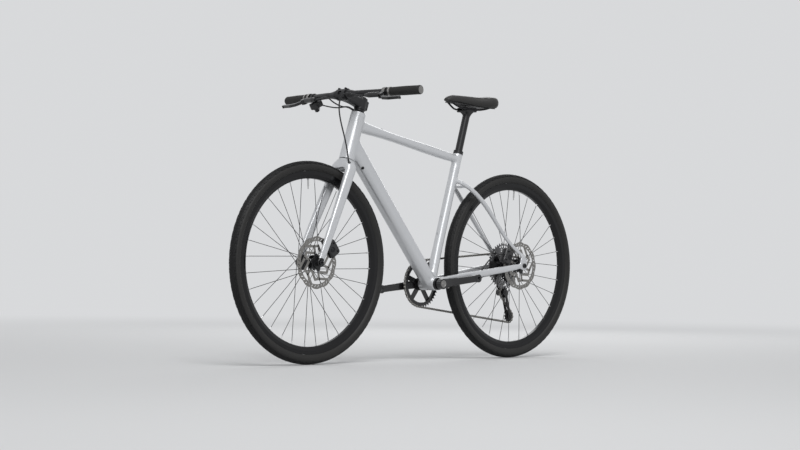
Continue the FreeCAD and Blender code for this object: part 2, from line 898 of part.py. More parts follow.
def toothed_disc(teeth, thickness, phase):
    """Sprocket blank about the origin, square to Y: seats for the rollers and pointed teeth."""
    radius = pitch_radius(teeth)
    seat = roller_radius + seat_clearance
    low = -thickness / 2
    tip = radius + tooth_height
    step = 2 * math.pi / teeth
    edges = []
    marks = []
    for i in range(teeth):
        turn = phase + i * step
        outward = V(math.cos(turn), 0, math.sin(turn))
        around = V(-math.sin(turn), 0, math.cos(turn))
        centre = outward * radius + V(0, low, 0)
        wide = math.radians(62)
        first = centre + (outward * -math.cos(wide) - around * math.sin(wide)) * seat
        bottom = centre - outward * seat
        last = centre + (outward * -math.cos(wide) + around * math.sin(wide)) * seat
        ridge = turn + step / 2
        spread = tooth_tip_half / tip
        tip_a = V(tip * math.cos(ridge - spread), low, tip * math.sin(ridge - spread))
        tip_b = V(tip * math.cos(ridge + spread), low, tip * math.sin(ridge + spread))
        marks.append((first, bottom, last, tip_a, tip_b))
    for i in range(teeth):
        first, bottom, last, tip_a, tip_b = marks[i]
        following = marks[(i + 1) % teeth][0]
        edges.append(Part.Arc(first, bottom, last).toShape())
        edges.append(Part.LineSegment(last, tip_a).toShape())
        edges.append(Part.LineSegment(tip_a, tip_b).toShape())
        edges.append(Part.LineSegment(tip_b, following).toShape())
    return Part.Face(Part.Wire(edges)).extrude(V(0, thickness, 0))


GUIDE = REAR_AXLE + V(-guide_behind, chain_y, -guide_below)


def tension_pulley_centre(lean):
    """Centre of the lower pulley when the cage leans back by an angle."""
    angle = math.radians(lean)
    return GUIDE + V(-math.sin(angle), 0, -math.cos(angle)) * cage_length


def chain_loop(lean):
    """The chain's pitch line as arcs and straight runs, in the order it travels."""
    tension = tension_pulley_centre(lean)
    wheels = (
        (BOTTOM_BRACKET, pitch_radius(ring_teeth), -1),
        (tension, pitch_radius(pulley_teeth), -1),
        (GUIDE, pitch_radius(pulley_teeth), 1),
        (REAR_AXLE, pitch_radius(cog_teeth[drive_cog]), -1),
    )
    runs = []
    for i in range(len(wheels)):
        (c1, r1, s1), (c2, r2, s2) = wheels[i], wheels[(i + 1) % len(wheels)]
        dx = c2.x - c1.x
        dz = c2.z - c1.z
        heading = math.atan2(dz, dx) - math.asin((s2 * r2 - s1 * r1) / math.hypot(dx, dz))
        nx = -math.sin(heading)
        nz = math.cos(heading)
        leave = (c1.x - s1 * r1 * nx, c1.z - s1 * r1 * nz)
        arrive = (c2.x - s2 * r2 * nx, c2.z - s2 * r2 * nz)
        runs.append((leave, arrive))
    pieces = []
    for i in range(len(wheels)):
        centre, radius, sense = wheels[i]
        arrive = runs[i - 1][1]
        leave = runs[i][0]
        first = math.atan2(arrive[1] - centre.z, arrive[0] - centre.x)
        last = math.atan2(leave[1] - centre.z, leave[0] - centre.x)
        sweep = (sense * (last - first)) % (2 * math.pi)
        pieces.append(("arc", radius * sweep, (centre.x, centre.z, radius, first, sense)))
        length = math.hypot(runs[i][1][0] - leave[0], runs[i][1][1] - leave[1])
        pieces.append(("run", length, (leave, runs[i][1])))
    return pieces


def chain_point(pieces, distance):
    """Point at a distance along the chain's pitch line, and the piece that holds it."""
    for index, (kind, length, data) in enumerate(pieces):
        if distance <= length:
            break
        distance -= length
    if kind == "arc":
        x, z, radius, first, sense = data
        angle = first + sense * distance / radius
        return x + radius * math.cos(angle), z + radius * math.sin(angle), index
    (x1, z1), (x2, z2) = data
    share = distance / length
    return x1 + (x2 - x1) * share, z1 + (z2 - z1) * share, index


def chain_pins(lean, count):
    """Pin places one pitch apart along the loop, and how far the last one is from closing it."""
    pieces = chain_loop(lean)
    total = sum(piece[1] for piece in pieces)
    place = 0.0
    pins = [chain_point(pieces, place)]
    for _ in range(count):
        low = place + 0.99 * chain_pitch
        high = place + 1.1 * chain_pitch
        for _ in range(44):
            middle = (low + high) / 2
            x, z, _piece = chain_point(pieces, middle % total)
            if math.hypot(x - pins[-1][0], z - pins[-1][1]) < chain_pitch:
                low = middle
            else:
                high = middle
        place = (low + high) / 2
        pins.append(chain_point(pieces, place % total))
    return pins[:-1], place - total


def settled_chain():
    """Cage lean at which a whole number of link pairs closes the chain, and its pins."""
    pieces = chain_loop(cage_lean)
    count = 2 * round(sum(piece[1] for piece in pieces) / (2 * chain_pitch))
    low = cage_lean - 25.0
    high = cage_lean + 25.0
    for _ in range(40):
        middle = (low + high) / 2
        pins, excess = chain_pins(middle, count)
        if excess > 0:
            low = middle
        else:
            high = middle
    return (low + high) / 2, pins


CAGE_LEAN, CHAIN_PINS = settled_chain()
TENSION = tension_pulley_centre(CAGE_LEAN)


def sprocket_phase(arc_piece, centre):
    """Angle of a roller that sits on a sprocket, so that its teeth fall between rollers."""
    x, z, _piece = [pin for pin in CHAIN_PINS if pin[2] == arc_piece][0]
    return math.atan2(z - centre.z, x - centre.x)


def link_plate(low, high):
    """Waisted chain plate from the origin along X."""
    radius = chain_plate_height / 2
    cx = radius * math.cos(math.radians(60))
    cz = radius * math.sin(math.radians(60))
    p = chain_pitch
    waist = 0.7 * radius
    edges = [
        Part.Arc(V(cx, low, cz), V(-radius, low, 0), V(cx, low, -cz)).toShape(),
        Part.Arc(V(cx, low, -cz), V(p / 2, low, -waist), V(p - cx, low, -cz)).toShape(),
        Part.Arc(V(p - cx, low, -cz), V(p + radius, low, 0), V(p - cx, low, cz)).toShape(),
        Part.Arc(V(p - cx, low, cz), V(p / 2, low, waist), V(cx, low, cz)).toShape(),
    ]
    return Part.Face(Part.Wire(edges)).extrude(V(0, high - low, 0))


def chain():
    """Every chain link, as roller links and pin links in turn."""
    inner = chain_inner_half
    plate_gap = running_fit
    outer = inner + chain_plate + plate_gap
    edge = outer + chain_plate
    rollers = link_plate(inner, inner + chain_plate).fuse(link_plate(-inner - chain_plate, -inner))
    pins = link_plate(outer, edge).fuse(link_plate(-edge, -outer))
    for x in (0, chain_pitch):
        rollers = rollers.fuse(rod(V(x, -inner, 0), V(x, inner, 0), roller_radius))
        pins = pins.fuse(rod(V(x, -edge - 0.1, 0), V(x, edge + 0.1, 0), chain_pin_radius))
    for x in (0, chain_pitch):
        rollers = rollers.cut(rod(V(x, -edge, 0), V(x, edge, 0), chain_pin_radius + running_fit))
    links = []
    count = len(CHAIN_PINS)
    for i in range(count):
        x1, z1, _piece = CHAIN_PINS[i]
        x2, z2, _piece = CHAIN_PINS[(i + 1) % count]
        link = (rollers if i % 2 == 0 else pins).copy()
        angle = math.degrees(math.atan2(z2 - z1, x2 - x1))
        link.Placement = FreeCAD.Placement(V(x1, chain_y, z1), FreeCAD.Rotation(V(0, -1, 0), angle))
        links.append(link)
    return links


def cog_y(index):
    """Side position of a cassette cog: the drive cog lies in the chain's plane."""
    return chain_y + (index - drive_cog) * cog_spacing


def cassette():
    """Freehub body, cogs, spacers and lockring."""
    pieces = []
    drive_phase = sprocket_phase(6, REAR_AXLE)
    bore = freehub_radius + running_fit
    for index, teeth in enumerate(cog_teeth):
        y = cog_y(index)
        disc = toothed_disc(teeth, cog_thickness, drive_phase if index == drive_cog else 0.3 * index)
        disc = disc.cut(rod(V(0, -9, 0), V(0, 9, 0), bore))
        rim_inside = pitch_radius(teeth) - 9
        spider = freehub_radius + 9
        window = rim_inside - spider
        if window > 8:
            holes = []
            arms = 6
            for k in range(arms):
                outline = [polar(spider, 60 * k + 14), polar(spider, 60 * k + 40)]
                outline += [polar(rim_inside, 60 * k + 46), polar(rim_inside + 2, 60 * k + 28)]
                outline += [polar(rim_inside, 60 * k + 10)]
                holes.append(plate(outline, 2.0, -9, 9))
            disc = disc.cut(Part.makeCompound(holes))
        disc.translate(REAR_AXLE + LEFT * y)
        pieces.append(disc)
        if index + 1 < len(cog_teeth):
            start = REAR_AXLE + LEFT * (y + cog_thickness / 2)
            end = REAR_AXLE + LEFT * (y + cog_spacing - cog_thickness / 2)
            pieces.append(pipe(start, end, freehub_radius + 3.5, bore))
    first = cog_y(0) - cog_thickness / 2 - seat_gap / 2
    last = cog_y(len(cog_teeth) - 1) + cog_thickness / 2 + seat_gap / 2
    axle_bore = axle_radius + running_fit
    body = wheel_turned([
        (axle_bore, -rear_hub_width / 2),
        (hub_cap_radius, -rear_hub_width / 2),
        (hub_cap_radius, first - 3),
        (freehub_radius, first - 3),
        (freehub_radius, last),
        (freehub_radius + 2, last),
        (freehub_radius + 2, -rear_right_flange - 4 - seat_gap),
        (axle_bore, -rear_right_flange - 4 - seat_gap),
    ], REAR_AXLE)
    lock = pipe(REAR_AXLE + LEFT * (first - 2.5), REAR_AXLE + LEFT * first, freehub_radius + 2, bore)
    return [body, lock, pieces[0].fuse(pieces[1:])]


def crank_direction():
    """Unit direction of the right crank arm: forward and slightly down."""
    x, z = polar(1.0, -crank_angle)
    return V(x, 0, z)


def crank_arm(side):
    """One crank arm with its spindle boss and pedal eye: side is 1 on the left, -1 on the right."""
    along = crank_direction() * -side
    upward = V(-along.z, 0, along.x)
    eye = BOTTOM_BRACKET + along * crank_length
    face = arm_face
    boss_end = face + arm_thickness + 4
    stations = (
        (0.0, face + (arm_thickness + 4) / 2, arm_thickness + 4, 2 * arm_boss_radius - 3),
        (0.25, face + 9, arm_thickness, arm_height + 3),
        (0.6, face + 16, arm_thickness - 1, arm_height - 1),
        (1.0, arm_eye_face + (arm_thickness - 1) / 2, arm_thickness - 1, arm_height - 2),
    )
    sections = [
        section(BOTTOM_BRACKET + along * (crank_length * at) + LEFT * (side * y), LEFT, upward, w, h, 5.0)
        for at, y, w, h in stations
    ]
    outside = LEFT * side
    hub = rod(BOTTOM_BRACKET + outside * face, BOTTOM_BRACKET + outside * boss_end, arm_boss_radius)
    pedal_eye = rod(
        eye + LEFT * (side * arm_eye_face),
        eye + LEFT * (side * (arm_eye_face + arm_thickness - 1)),
        arm_eye_radius,
    )
    arm = loft(sections).fuse([hub, pedal_eye])
    thread = rod(eye + LEFT * (side * (arm_eye_face - 9)), eye + LEFT * (side * 110), pedal_thread_radius)
    arm = arm.cut(thread)
    bore = rod(
        BOTTOM_BRACKET + LEFT * (side * (face - 1)),
        BOTTOM_BRACKET + LEFT * (side * (boss_end - 4)),
        spindle_radius + running_fit,
    )
    return arm.cut(bore), boss_end


def spindle(boss_end):
    """Crank spindle from arm to arm."""
    reach = boss_end - 4 - seat_gap
    half = LEFT * reach
    return pipe(BOTTOM_BRACKET - half, BOTTOM_BRACKET + half, spindle_radius, spindle_radius - 3)


def chainring():
    """Single chainring dished onto the crank spindle, with open arms."""
    radius = pitch_radius(ring_teeth)
    teeth = toothed_disc(ring_teeth, ring_thickness, sprocket_phase(0, BOTTOM_BRACKET))
    band = radius - 9
    inside = band - 7
    outer_face = -arm_face + seat_gap
    inner_face = outer_face + 4
    teeth = teeth.cut(rod(V(0, -9, 0), V(0, 9, 0), inside))
    rear = ring_thickness / 2
    hoop = pipe(V(0, outer_face - chain_y, 0), V(0, rear, 0), band, inside)
    pieces = [hoop]
    for i in range(ring_arms):
        angle = 360.0 / ring_arms * i + 20
        root_one = polar(18.0, angle - 30)
        root_two = polar(18.0, angle + 30)
        tip_one = polar(inside + 3, angle - 7)
        tip_two = polar(inside + 3, angle + 7)
        arm = plate((root_one, tip_one, tip_two, root_two), 2.0, outer_face - chain_y, inner_face - chain_y)
        pieces.append(arm)
    pieces.append(rod(V(0, outer_face - chain_y, 0), V(0, inner_face - chain_y, 0), 25.0))
    ring = teeth.fuse(pieces)
    ring = ring.cut(rod(V(0, -30, 0), V(0, 30, 0), spindle_radius + running_fit))
    ring.translate(BOTTOM_BRACKET + LEFT * chain_y)
    return ring.removeSplitter()


def bb_cups():
    """Bearing cup on each side of the bottom bracket shell."""
    cups = []
    shell_half = bb_shell_width / 2
    for side in (1, -1):
        face = BOTTOM_BRACKET + LEFT * (side * (shell_half + seat_gap / 2))
        outer = BOTTOM_BRACKET + LEFT * (side * (shell_half + bb_cup_width))
        inner = BOTTOM_BRACKET + LEFT * (side * (shell_half - 14))
        cup = rod(face, outer, bb_cup_radius).fuse(rod(inner, outer, bb_cup_seat))
        cups.append(cup.cut(rod(inner, outer, spindle_radius + running_fit)))
    return cups


# Rear derailleur


def derailleur_body():
    """Mount knuckle on the hanger, two parallel links and the cage knuckle."""
    mount = V(REAR_AXLE.x - hanger_behind, 0, REAR_AXLE.z - hanger_below)
    near = -REAR_INNER - dropout_thickness - seat_gap
    cage_face = chain_y - cage_gap_half - cage_plate - 2.0
    knuckle = rod(mount + LEFT * near, mount + LEFT * (near - 17), 11.5)
    bolt = rod(mount + LEFT * (near + 7), mount + LEFT * near, 5.0 - running_fit)
    cap = rod(mount + LEFT * (near - 17), mount + LEFT * (near - 20), 8.0)
    knuckle = knuckle.fuse([bolt, cap])
    pivot = V(GUIDE.x, 0, GUIDE.z)
    cage_knuckle = rod(pivot + LEFT * cage_face, pivot + LEFT * (cage_face - 19), 13.0)
    span = pivot - mount
    side = unit(V(-span.z, 0, span.x)) * -1
    links = []
    for start_y, end_y in ((near - 12.5, cage_face - 14.5), (near - 3.5, cage_face - 5.0)):
        start = mount + LEFT * start_y + side * 6
        end = pivot + LEFT * end_y + side * 6
        sections = [
            section(start, LEFT, side, 6.0, 21.0, 2.5),
            section((start + end) * 0.5 + side * 5, LEFT, side, 6.0, 19.0, 2.5),
            section(end, LEFT, side, 6.0, 19.0, 2.5),
        ]
        links.append(loft(sections).cut(knuckle).cut(cage_knuckle))
    return [knuckle, cage_knuckle] + links


def cage_slab(start_y, end_y):
    """One cage plate from the guide pulley to the tension pulley."""
    body = strip(((GUIDE.x, GUIDE.z), (TENSION.x, TENSION.z)), 13.0, start_y, end_y)
    ends = [
        rod(V(GUIDE.x, start_y, GUIDE.z), V(GUIDE.x, end_y, GUIDE.z), 12.5),
        rod(V(TENSION.x, start_y, TENSION.z), V(TENSION.x, end_y, TENSION.z), 10.5),
    ]
    return body.fuse(ends)


def derailleur_cage():
    """Two cage plates and the two pulley bolts."""
    inner = chain_y + cage_gap_half
    outer = chain_y - cage_gap_half
    pieces = [cage_slab(inner, inner + cage_plate), cage_slab(outer - cage_plate, outer)]
    for centre in (GUIDE, TENSION):
        foot = V(centre.x, 0, centre.z)
        bolt = rod(foot + LEFT * (outer - cage_plate), foot + LEFT * (inner + cage_plate), cage_bolt_radius)
        head = rod(foot + LEFT * (inner + cage_plate), foot + LEFT * (inner + cage_plate + 1.6), 4.5)
        pieces += [bolt, head]
    return pieces[0].fuse(pieces[1:]).removeSplitter()


def pulley(centre, arc_piece):
    """Jockey wheel with its bush."""
    disc = toothed_disc(pulley_teeth, 2.0, sprocket_phase(arc_piece, centre))
    width = cage_gap_half - link_gap
    bush = rod(V(0, -width, 0), V(0, width, 0), 6.0)
    face = rod(V(0, -3, 0), V(0, 3, 0), pitch_radius(pulley_teeth) - 7)
    wheel = disc.fuse([bush, face])
    wheel = wheel.cut(rod(V(0, -20, 0), V(0, 20, 0), cage_bolt_radius + running_fit))
    wheel.translate(centre)
    return wheel.removeSplitter()


# Fork and steering


def fork_crown():
    """Crown arched over the tyre, with the steerer above it."""
    steerer_top = STEM_LOW + stem_height - 2
    steerer = rod(steer_point(-crown_depth / 2), steer_point(steerer_top), steerer_radius)
    race = rod(steer_point(0), steer_point(crown_gap + bearing_height - 1), crown_race_radius)
    neck = rod(steer_point(-12), steer_point(0), crown_radius)
    outer = tyre_width / 2 + tyre_side_room + blade_width
    shoulders = loft([
        section(steer_point(0, 0), LEFT, STEER_AHEAD, 2 * crown_radius - 5, 2 * crown_radius - 8, 18.0),
        section(steer_point(-crown_depth / 2, 3), LEFT, STEER_AHEAD, 2 * outer - 10, blade_chord + 4, 17.0),
        section(steer_point(-crown_depth, 5), LEFT, STEER_AHEAD, 2 * outer, blade_chord, 11.5),
    ])
    body = shoulders.fuse([neck, race, steerer])
    half = tyre_width / 2 + tyre_side_room
    arch = rod(FRONT_AXLE - LEFT * half, FRONT_AXLE + LEFT * half, tyre_radius + tyre_room)
    bore = rod(steer_point(-crown_depth), steer_point(steerer_top + 1), steerer_radius - steerer_wall)
    return body.cut(arch).cut(bore)


def fork_blade():
    """Left fork blade and its axle foot."""
    inner_top = tyre_width / 2 + tyre_side_room
    inner_foot = FRONT_INNER + link_gap
    foot = FORK_FOOT + 6
    stations = (
        (0.0, 5.0, 0.0, blade_width, blade_chord),
        (0.3, 18.0, 0.34, blade_width - 4, blade_chord - 4),
        (0.7, 36.0, 0.76, blade_foot_width + 4, blade_foot_chord + 6),
        (1.0, fork_offset - 1, 1.0, blade_foot_width - 2 * link_gap, blade_foot_chord),
    )
    sections = []
    for at, ahead, spread, width, chord in stations:
        inner = inner_top + (inner_foot - inner_top) * spread
        along = -crown_depth + (foot + crown_depth) * at
        centre = steer_point(along, ahead, inner + width / 2)
        sections.append(section(centre, LEFT, STEER_AHEAD, width, chord, blade_corner * width))
    blade = loft(sections)
    toe = rod(
        FRONT_AXLE + LEFT * FRONT_INNER,
        FRONT_AXLE + LEFT * (FRONT_INNER + blade_foot_width),
        fork_foot_radius,
    )
    hole = rod(FRONT_AXLE, FRONT_AXLE + LEFT * 100, axle_radius + running_fit)
    return blade.fuse(toe).cut(hole)


def fork_boss_places():
    """Mouth of each threaded boss on the left fork blade."""
    inner_top = tyre_width / 2 + tyre_side_room
    foot = FORK_FOOT + 6
    places = []
    for along in (-crown_depth - fork_boss_drop, -crown_depth - fork_boss_drop - fork_boss_spacing):
        share = (along + crown_depth) / (foot + crown_depth)
        width = blade_width + (blade_foot_width - blade_width) * share
        inner = inner_top + (FRONT_INNER - inner_top) * share
        ahead = 5.0 + (fork_offset - 6) * share
        places.append(steer_point(along, ahead, inner + width - boss_sink))
    return places


def thru_axle(centre, inner, thickness):
    """Hollow axle from dropout to dropout, with a head on the left."""
    end = inner + thickness
    shaft = rod(centre - LEFT * end, centre + LEFT * end, axle_radius)
    head_seat = end + seat_gap / 2
    head = rod(centre + LEFT * head_seat, centre + LEFT * (end + axle_head_length), axle_head_radius)
    neck = rod(centre + LEFT * end, centre + LEFT * (end + seat_gap), axle_radius)
    bore = rod(centre - LEFT * (end + 1), centre + LEFT * (end + 10), axle_bore_radius)
    return shaft.fuse([head, neck]).cut(bore)


def headset_bearings():
    """Upper and lower bearing ring, seated in the head tube."""
    lower = pipe(
        steer_point(crown_gap),
        steer_point(crown_gap + bearing_height - seat_gap),
        head_bottom_radius - head_wall,
        crown_race_radius + running_fit,
    )
    upper = pipe(
        steer_point(HEAD_TOP - bearing_height + seat_gap),
        steer_point(HEAD_TOP),
        head_top_radius - head_wall,
        steerer_radius + running_fit,
    )
    return [lower, upper]


def headset_cover():
    """Conical cover over the upper bearing, a spacer and the top cap."""
    bore = steerer_radius + running_fit
    low = HEAD_TOP + crown_gap
    top = low + headset_cover_height
    cover = cone(steer_point(low), steer_point(top), head_top_radius - 0.5, spacer_radius)
    cover = cover.cut(rod(steer_point(low - 1), steer_point(top + 1), bore))
    spacer = pipe(steer_point(top), steer_point(top + spacer_height), spacer_radius, bore)
    cap_low = STEM_LOW + stem_height + seat_gap / 2
    cap = cone(steer_point(cap_low), steer_point(cap_low + 4), spacer_radius, spacer_radius - 3)
    return [cover, spacer, cap]


BAR = steer_point(STEM_MIDDLE, stem_length)


def stem_solid():
    """Stem body: steerer clamp, tapered arm and the full bar clamp round."""
    clamp = rod(steer_point(STEM_LOW), steer_point(STEM_LOW + stem_height), stem_clamp_radius)
    arm = loft([
        section(steer_point(STEM_MIDDLE, 0), LEFT, STEER_UP, 2 * stem_clamp_radius - 3, stem_height - 2, 8.0),
        section(steer_point(STEM_MIDDLE, stem_length * 0.55), LEFT, STEER_UP, 34.0, stem_height - 8, 9.0),
        section(steer_point(STEM_MIDDLE, stem_length - 8), LEFT, STEER_UP, stem_bar_width - 2, 36.0, 6.0),
    ])
    half = LEFT * (stem_bar_width / 2)
    collar = rod(BAR - half, BAR + half, bar_clamp_radius + 4.6)
    tail = loft([
        section(steer_point(STEM_MIDDLE, -stem_clamp_radius - 4), LEFT, STEER_UP, 26.0, stem_height - 8, 5.0),
        section(steer_point(STEM_MIDDLE, -8), LEFT, STEER_UP, 34.0, stem_height - 2, 6.0),
    ])
    return clamp.fuse([arm, collar, tail])


def stem():
    """Stem behind the bar, bored for steerer and bar."""
    body = stem_solid()
    half = LEFT * (stem_bar_width / 2 + 1)
    body = body.cut(rod(BAR - half, BAR + half, bar_clamp_radius + running_fit))
    bore_top = steer_point(STEM_LOW + stem_height + 1)
    body = body.cut(rod(steer_point(STEM_LOW - 1), bore_top, steerer_radius + running_fit))
    front = BAR + STEER_AHEAD * (-1.0 + 30)
    block = Part.Face(section(front, LEFT, STEER_UP, 80.0, 80.0, 1.0)).extrude(STEER_AHEAD * 60)
    block.translate(STEER_AHEAD * -30)
    return body.cut(block)


def faceplate_bolt_places():
    """Centre lines of the four faceplate bolts, on the split plane."""
    places = []
    for side in (1, -1):
        for level in (1, -1):
            offset = LEFT * (side * (stem_bar_width / 2 - 7)) + STEER_UP * (level * (bar_clamp_radius + 2.0))
            places.append(BAR + offset)
    return places


def stem_faceplate():
    """Front half of the bar clamp."""
    half = LEFT * (stem_bar_width / 2)
    ring = pipe(BAR - half, BAR + half, bar_clamp_radius + 4.6, bar_clamp_radius + running_fit)
    ears = [rod(p + STEER_AHEAD, p + STEER_AHEAD * 10, 4.2) for p in faceplate_bolt_places()]
    ring = ring.fuse(ears).cut(rod(BAR - half, BAR + half, bar_clamp_radius + running_fit))
    back = Part.Face(section(BAR + STEER_AHEAD, LEFT, STEER_UP, 80.0, 80.0, 1.0)).extrude(STEER_AHEAD * -40)
    plate_body = ring.cut(back)
    window = Part.Face(section(BAR, LEFT, STEER_UP, 16.0, 14.0, 4.0)).extrude(STEER_AHEAD * 40)
    places = faceplate_bolt_places()
    heads = [rod(p + STEER_AHEAD * 10, p + STEER_AHEAD * 40, 3.6 + running_fit) for p in places]
    return plate_body.cut(window).cut(Part.makeCompound(heads))


def stem_bolts():
    """Faceplate bolt heads, and the two pinch bolts of the steerer clamp."""
    bolts = []
    for place in faceplate_bolt_places():
        head = rod(place + STEER_AHEAD * 10, place + STEER_AHEAD * 14, 3.6)
        socket = rod(place + STEER_AHEAD * 11.5, place + STEER_AHEAD * 15, 2.0)
        bolts.append(head.cut(socket))
    for level in (1, -1):
        side = steer_point(STEM_MIDDLE + level * 11, -stem_clamp_radius - 4)
        head = rod(side, side - STEER_AHEAD * 3.5, 3.6)
        socket = rod(side - STEER_AHEAD * 1.5, side - STEER_AHEAD * 5, 2.0)
        bolts.append(head.cut(socket))
    return bolts


def bar_axes(side):
    """Outward, forward-down and upward directions at the swept part of one bar end."""
    sweep = math.radians(bar_sweep)
    outward = V(-math.sin(sweep), side * math.cos(sweep), 0)
    ahead = V(math.cos(sweep), side * math.sin(sweep), 0)
    droop = math.radians(control_droop)
    down = ahead * math.cos(droop) - UP * math.sin(droop)
    lift = ahead * math.sin(droop) + UP * math.cos(droop)
    return outward, down, lift


def bar_point(side, along, down=0.0, lift=0.0):
    """A point by its distance along the bar from the stem, and its offset from the bar's axis."""
    outward, down_axis, lift_axis = bar_axes(side)
    knee = BAR + LEFT * (side * bar_taper_end)
    return knee + outward * (along - bar_taper_end) + down_axis * down + lift_axis * lift


def bar_end_at():
    """Distance along the bar from the stem to its end."""
    return bar_taper_end + (bar_width / 2 - bar_taper_end) / math.cos(math.radians(bar_sweep))


def bar_half(side, inset):
    """One half of the handlebar, its surface brought in by an inset."""
    middle = BAR
    clamp_end = BAR + LEFT * (side * bar_clamp_half)
    knee = BAR + LEFT * (side * bar_taper_end)
    start = bar_taper_end - 20
    bend_in = BAR + LEFT * (side * start)
    end = bar_point(side, bar_end_at())
    pieces = [
        rod(middle, clamp_end, bar_clamp_radius - inset),
        cone(clamp_end, bend_in, bar_clamp_radius - inset, bar_grip_radius - inset),
    ]
    first, arc_middle, last = corner_arc(bend_in - LEFT * side, knee, end, bar_bend_radius)
    path = Part.Wire([
        Part.LineSegment(bend_in, first).toShape(),
        Part.Arc(first, arc_middle, last).toShape(),
        Part.LineSegment(last, end).toShape(),
    ])
    circle = Part.Wire(Part.Circle(bend_in, LEFT * side, bar_grip_radius - inset).toShape())
    pieces.append(path.makePipeShell([circle], True, False))
    return pieces[0].fuse(pieces[1:])


def handlebar():
    """Flat handlebar: thick at the stem, swept back to the grips, hollow."""
    outside = bar_half(1, 0).fuse(bar_half(-1, 0))
    inside = bar_half(1, bar_wall).fuse(bar_half(-1, bar_wall))
    return outside.cut(inside).removeSplitter()


def bar_turned(side, profile):
    """Solid turned about the swept bar axis: the profile is a list of (radius, along the bar)."""
    outward, down, _lift = bar_axes(side)
    base = bar_point(side, 0)
    return turned(profile, base, outward, down)


def grip(side):
    """Rubber grip with a lock ring and a closed end."""
    end = bar_end_at()
    start = end - grip_length
    bore = bar_grip_radius + running_fit
    return bar_turned(side, [
        (bore, start),
        (grip_radius - 1.0, start),
        (grip_radius - 0.5, start + 1),
        (grip_radius - 0.5, start + 9),
        (grip_radius - 1.6, start + 10),
        (grip_radius - 1.0, start + 20),
        (grip_radius, end - 60),
        (grip_radius - 0.4, end - 12),
        (grip_radius, end - 2),
        (grip_radius - 1.5, end + 2.5),
        (0.0, end + 3.5),
        (0.0, end + seat_gap),
        (bore, end + seat_gap),
    ])


def control_plate(side, points, radius, low, high):
    """Plate in a control's own plane: points are (along the bar, down), low and high are lifts."""
    _outward, _down, lift = bar_axes(side)
    wire = rounded_loop([bar_point(side, a, d, low) for a, d in points], radius)
    return Part.Face(wire).extrude(lift * (high - low))


def control_pin(side, along, down, low, high, radius):
    """Round pin square to a control's own plane."""
    return rod(bar_point(side, along, down, low), bar_point(side, along, down, high), radius)


LEVER_PIVOT = (lever_clamp_at + 6.0, 31.0)


def master_point(side, inboard):
    """A point on the axis of the master cylinder, by its distance inboard of the lever's clamp."""
    return bar_point(side, lever_clamp_at - inboard, master_down, master_lift)


def lever_housing(side):
    """Brake lever housing: bar clamp, master cylinder and the ears of the lever pivot."""
    bore = bar_grip_radius + running_fit
    at = lever_clamp_at
    ring = bar_turned(side, [(bore, at - 7), (bore + 4.5, at - 7), (bore + 4.5, at + 7), (bore, at + 7)])
    neck = control_plate(side, ((at - 9, 12), (at - 9, 30), (at + 6, 30), (at + 6, 12)), 2.0, -6.5, 6.5)
    tip = master_point(side, master_length)
    shoulder = master_point(side, master_length - 16)
    cylinder = cone(tip, shoulder, 5.5, master_radius)
    barrel = rod(shoulder, master_point(side, 6), master_radius)
    along, down = LEVER_PIVOT
    ear = ((at - 10, 22), (at - 10, 35), (along + 2, down + 7), (along + 7, down), (along + 1, 22))
    half = lever_thickness / 2 + link_gap
    upper = control_plate(side, ear, 3.0, half, half + 4)
    lower = control_plate(side, ear, 3.0, -half - 4, -half)
    body = neck.fuse([cylinder, barrel, upper, lower])
    swing = control_pin(side, along, down, -half, half, 9.0)
    body = body.cut(swing)
    pin = control_pin(side, along, down, -half - 4, half + 4, lever_pivot_radius)
    room = bore + 1.5
    inside = bar_turned(side, [(0.0, at - 90), (room, at - 90), (room, at + 30), (0.0, at + 30)])
    return body.cut(inside).fuse([ring, pin])


def brake_lever(side):
    """Brake lever blade, hooked at its tip, with its pivot eye."""
    along, down = LEVER_PIVOT
    half = lever_thickness / 2
    tip = along + 98
    reach = lever_reach
    outline = (
        (along - 5, down - 4),
        (along + 5, down - 5),
        (along + 20, reach - 9),
        (along + 45, reach - 2),
        (along + 75, reach - 4),
        (tip - 6, reach - 5),
        (tip, reach + 3),
        (tip - 5, reach + 7),
        (tip - 12, reach + 4),
        (along + 45, reach + 7),
        (along + 16, reach + 1),
        (along - 4, down + 6),
    )
    blade = control_plate(side, outline, 4.0, -half, half)
    eye = control_pin(side, along, down, -half, half, 7.5)
    hole = control_pin(side, along, down, -half - 1, half + 1, lever_pivot_radius + running_fit)
    return blade.fuse(eye).cut(hole)


SHIFT_PIVOT = (shifter_clamp_at - 6.0, 12.0)


def shifter_housing():
    """Trigger shifter body under the right side of the bar, with its band and lever post."""
    side = -1
    at = shifter_clamp_at
    bore = bar_grip_radius + running_fit
    band = bar_turned(side, [(bore, at - 5), (bore + 3.4, at - 5), (bore + 3.4, at + 5), (bore, at + 5)])
    stalk = control_plate(side, ((at - 5, -4), (at - 5, 10), (at + 5, 10), (at + 5, -4)), 1.5, -17, -8)
    outline = ((at - 30, -8), (at - 30, 26), (at - 8, 33), (at + 12, 24), (at + 14, -4), (at, -12))
    body = control_plate(side, outline, 7.0, -34, -15)
    along, down = SHIFT_PIVOT
    post = control_pin(side, along, down, -50, -34, 4.0)
    room = bore + 1.5
    inside = bar_turned(side, [(0.0, at - 60), (room, at - 60), (room, at + 40), (0.0, at + 40)])
    return body.fuse([stalk, post]).cut(inside).fuse(band)


def shift_lever(low, high, outline):
    """One shift lever on the shifter's post."""
    along, down = SHIFT_PIVOT
    body = control_plate(-1, outline, 4.0, low, high)
    eye = control_pin(-1, along, down, low, high, 8.0)
    hole = control_pin(-1, along, down, low - 1, high + 1, 4.0 + running_fit)
    return body.fuse(eye).cut(hole)


